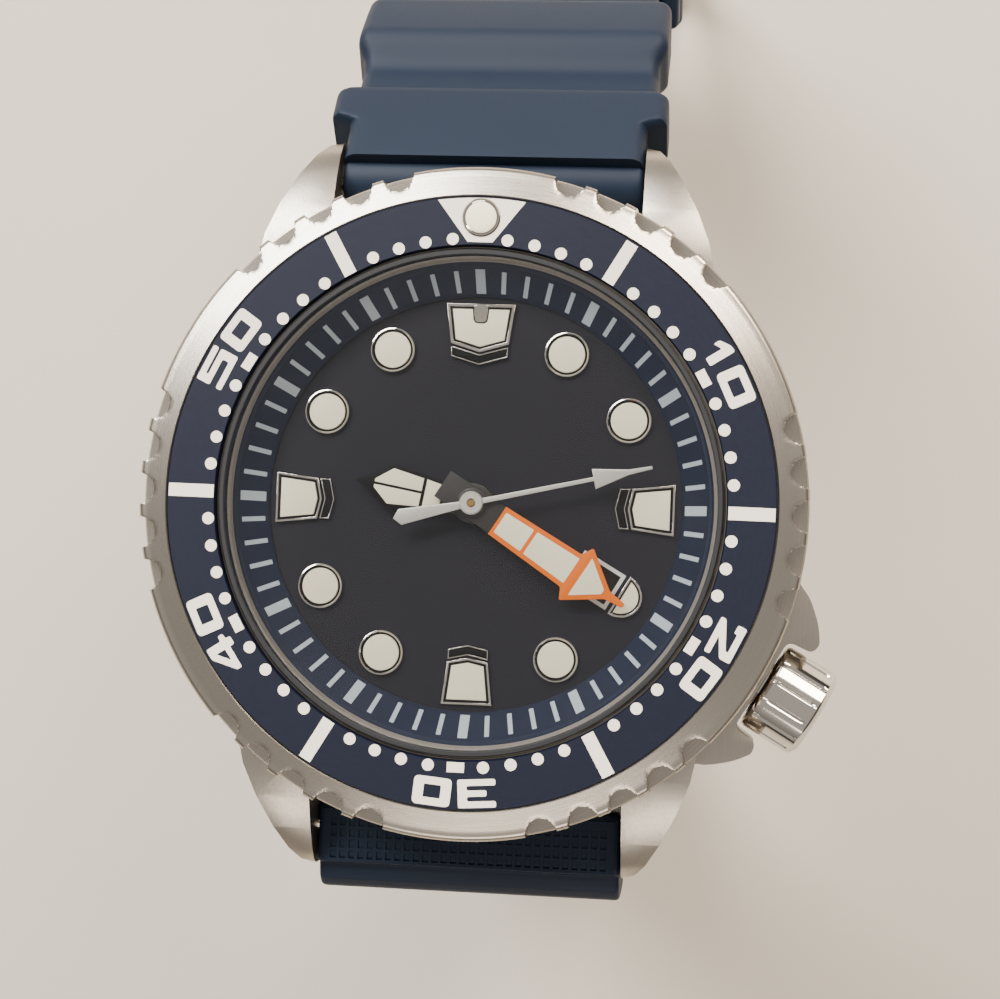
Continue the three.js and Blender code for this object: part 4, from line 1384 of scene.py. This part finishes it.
def make_long_strap():
    floor = lo("strap_long").z
    curl, foot = 34.0, 36.0
    turn = math.radians(92)
    drop = (BAR_Z - STRAP_T / 2 - floor - curl * (1 - math.cos(turn)) / turn) / math.sin(turn)

    def direction(s):
        if s < drop:
            return -92.0
        if s < drop + curl:
            return -92.0 + 92.0 * (s - drop) / curl
        return 0.0

    path = strap_path(-BAR_Y, drop + curl + foot, 0.4, direction)

    def shape(s):
        half = STRAP_T / 2
        inner = half + along(RISE, s)
        outer = half * min(1.0, 0.7 + s / 60)
        tip = drop + curl + foot - s
        width = strap_width(s)
        if tip < 9:
            width *= math.sqrt(max(0.03, 1 - ((9 - tip) / 9.1) ** 2))
        return [(x, -y) for x, y in section(width, inner, outer)]

    band = swept(path, shape)
    tip_y = path[-1][0]
    holes = [
        plate([ring(1.2, 32, 0, tip_y - 9 - 5.5 * i)], floor - 3, floor + STRAP_T + 3)
        for i in range(6)
    ]
    band = combined(band, [(hole, "DIFFERENCE") for hole in holes])
    root = [
        (-19.9, 2.0), (-19.9, 3.9), (-20.3, 4.3), (-23.7, 4.3), (-24.1, 4.0), (-24.15, 3.55),
        (-24.45, 3.5), (-25.2, 3.3), (-25.8, 2.6), (-26.0, 1.6), (-26.0, -0.5), (-25.5, -3.0),
        (-22.0, -2.0),
    ]
    block = sideways(plate([rounded(root, 0.25)], -STRAP_W / 2, STRAP_W / 2, 0.3, 3))
    wide, deep = 0.62, 0.72
    pockets = [
        rectangle(x - 0.2, x + 0.2, y - 0.25, y + 0.25)
        for x in (wide * (i - 14.5) for i in range(30))
        for y in (-23.5 + deep * j for j in range(4))
    ]
    skin = plate([rectangle(-9.7, 9.7, -23.95, -20.5)] + pockets, 4.25, 4.38)
    parts = [(mesh, strap_rubber) for mesh in (band, block, skin)]
    piece("strap_lower_band", parts, "strap_lower", ["strap_long"], 40)


def make_buckle_and_keepers():
    piece("keeper_moulded", [(eased_copy("keeper_fixed", 0.55), strap_rubber)], "strap_upper",
          ["keeper_fixed"], 40)
    piece("keeper_sliding", [(eased_copy("keeper_free", 0.55), strap_rubber)], "keeper",
          ["keeper_free"], 40)
    piece("buckle_loop", [(eased_copy("buckle_frame", 0.32), steel_plain)], "buckle",
          ["buckle_frame"], 40)
    piece("buckle_pin", [(eased_copy("buckle_tongue", 0.22), steel_plain)], "tongue",
          ["buckle_tongue"], 40)


make_short_strap()
make_long_strap()
make_buckle_and_keepers()


# Pieces that keep their CAD shape ----------------------------------------

KEPT = {
    steel_polished: [
        "crown_tube", "winding_stem", "clutch", "setting_lever", "date_jumper",
        "spring_bar_12", "spring_bar_06", "bezel_click_spring", "buckle_bar",
    ],
    steel_plain: [
        "rotor", "stator", "train_bridge", "power_cell",
    ],
    brass: [
        "fifth_wheel", "second_wheel", "third_wheel", "centre_wheel", "minute_wheel",
        "hour_wheel", "main_plate",
    ],
    pale_plastic: ["movement_spacer"],
    hand_grey: ["date_ring"],
    board_green: ["circuit_block"],
    copper_wire: ["coil"],
    cell_violet: ["solar_cell"],
    seal_black: ["case_back_gasket", "crown_gasket", "bezel_gasket"],
}
for material, names in KEPT.items():
    for name in names:
        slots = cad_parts[name].data.materials
        slots.clear()
        slots.append(material)
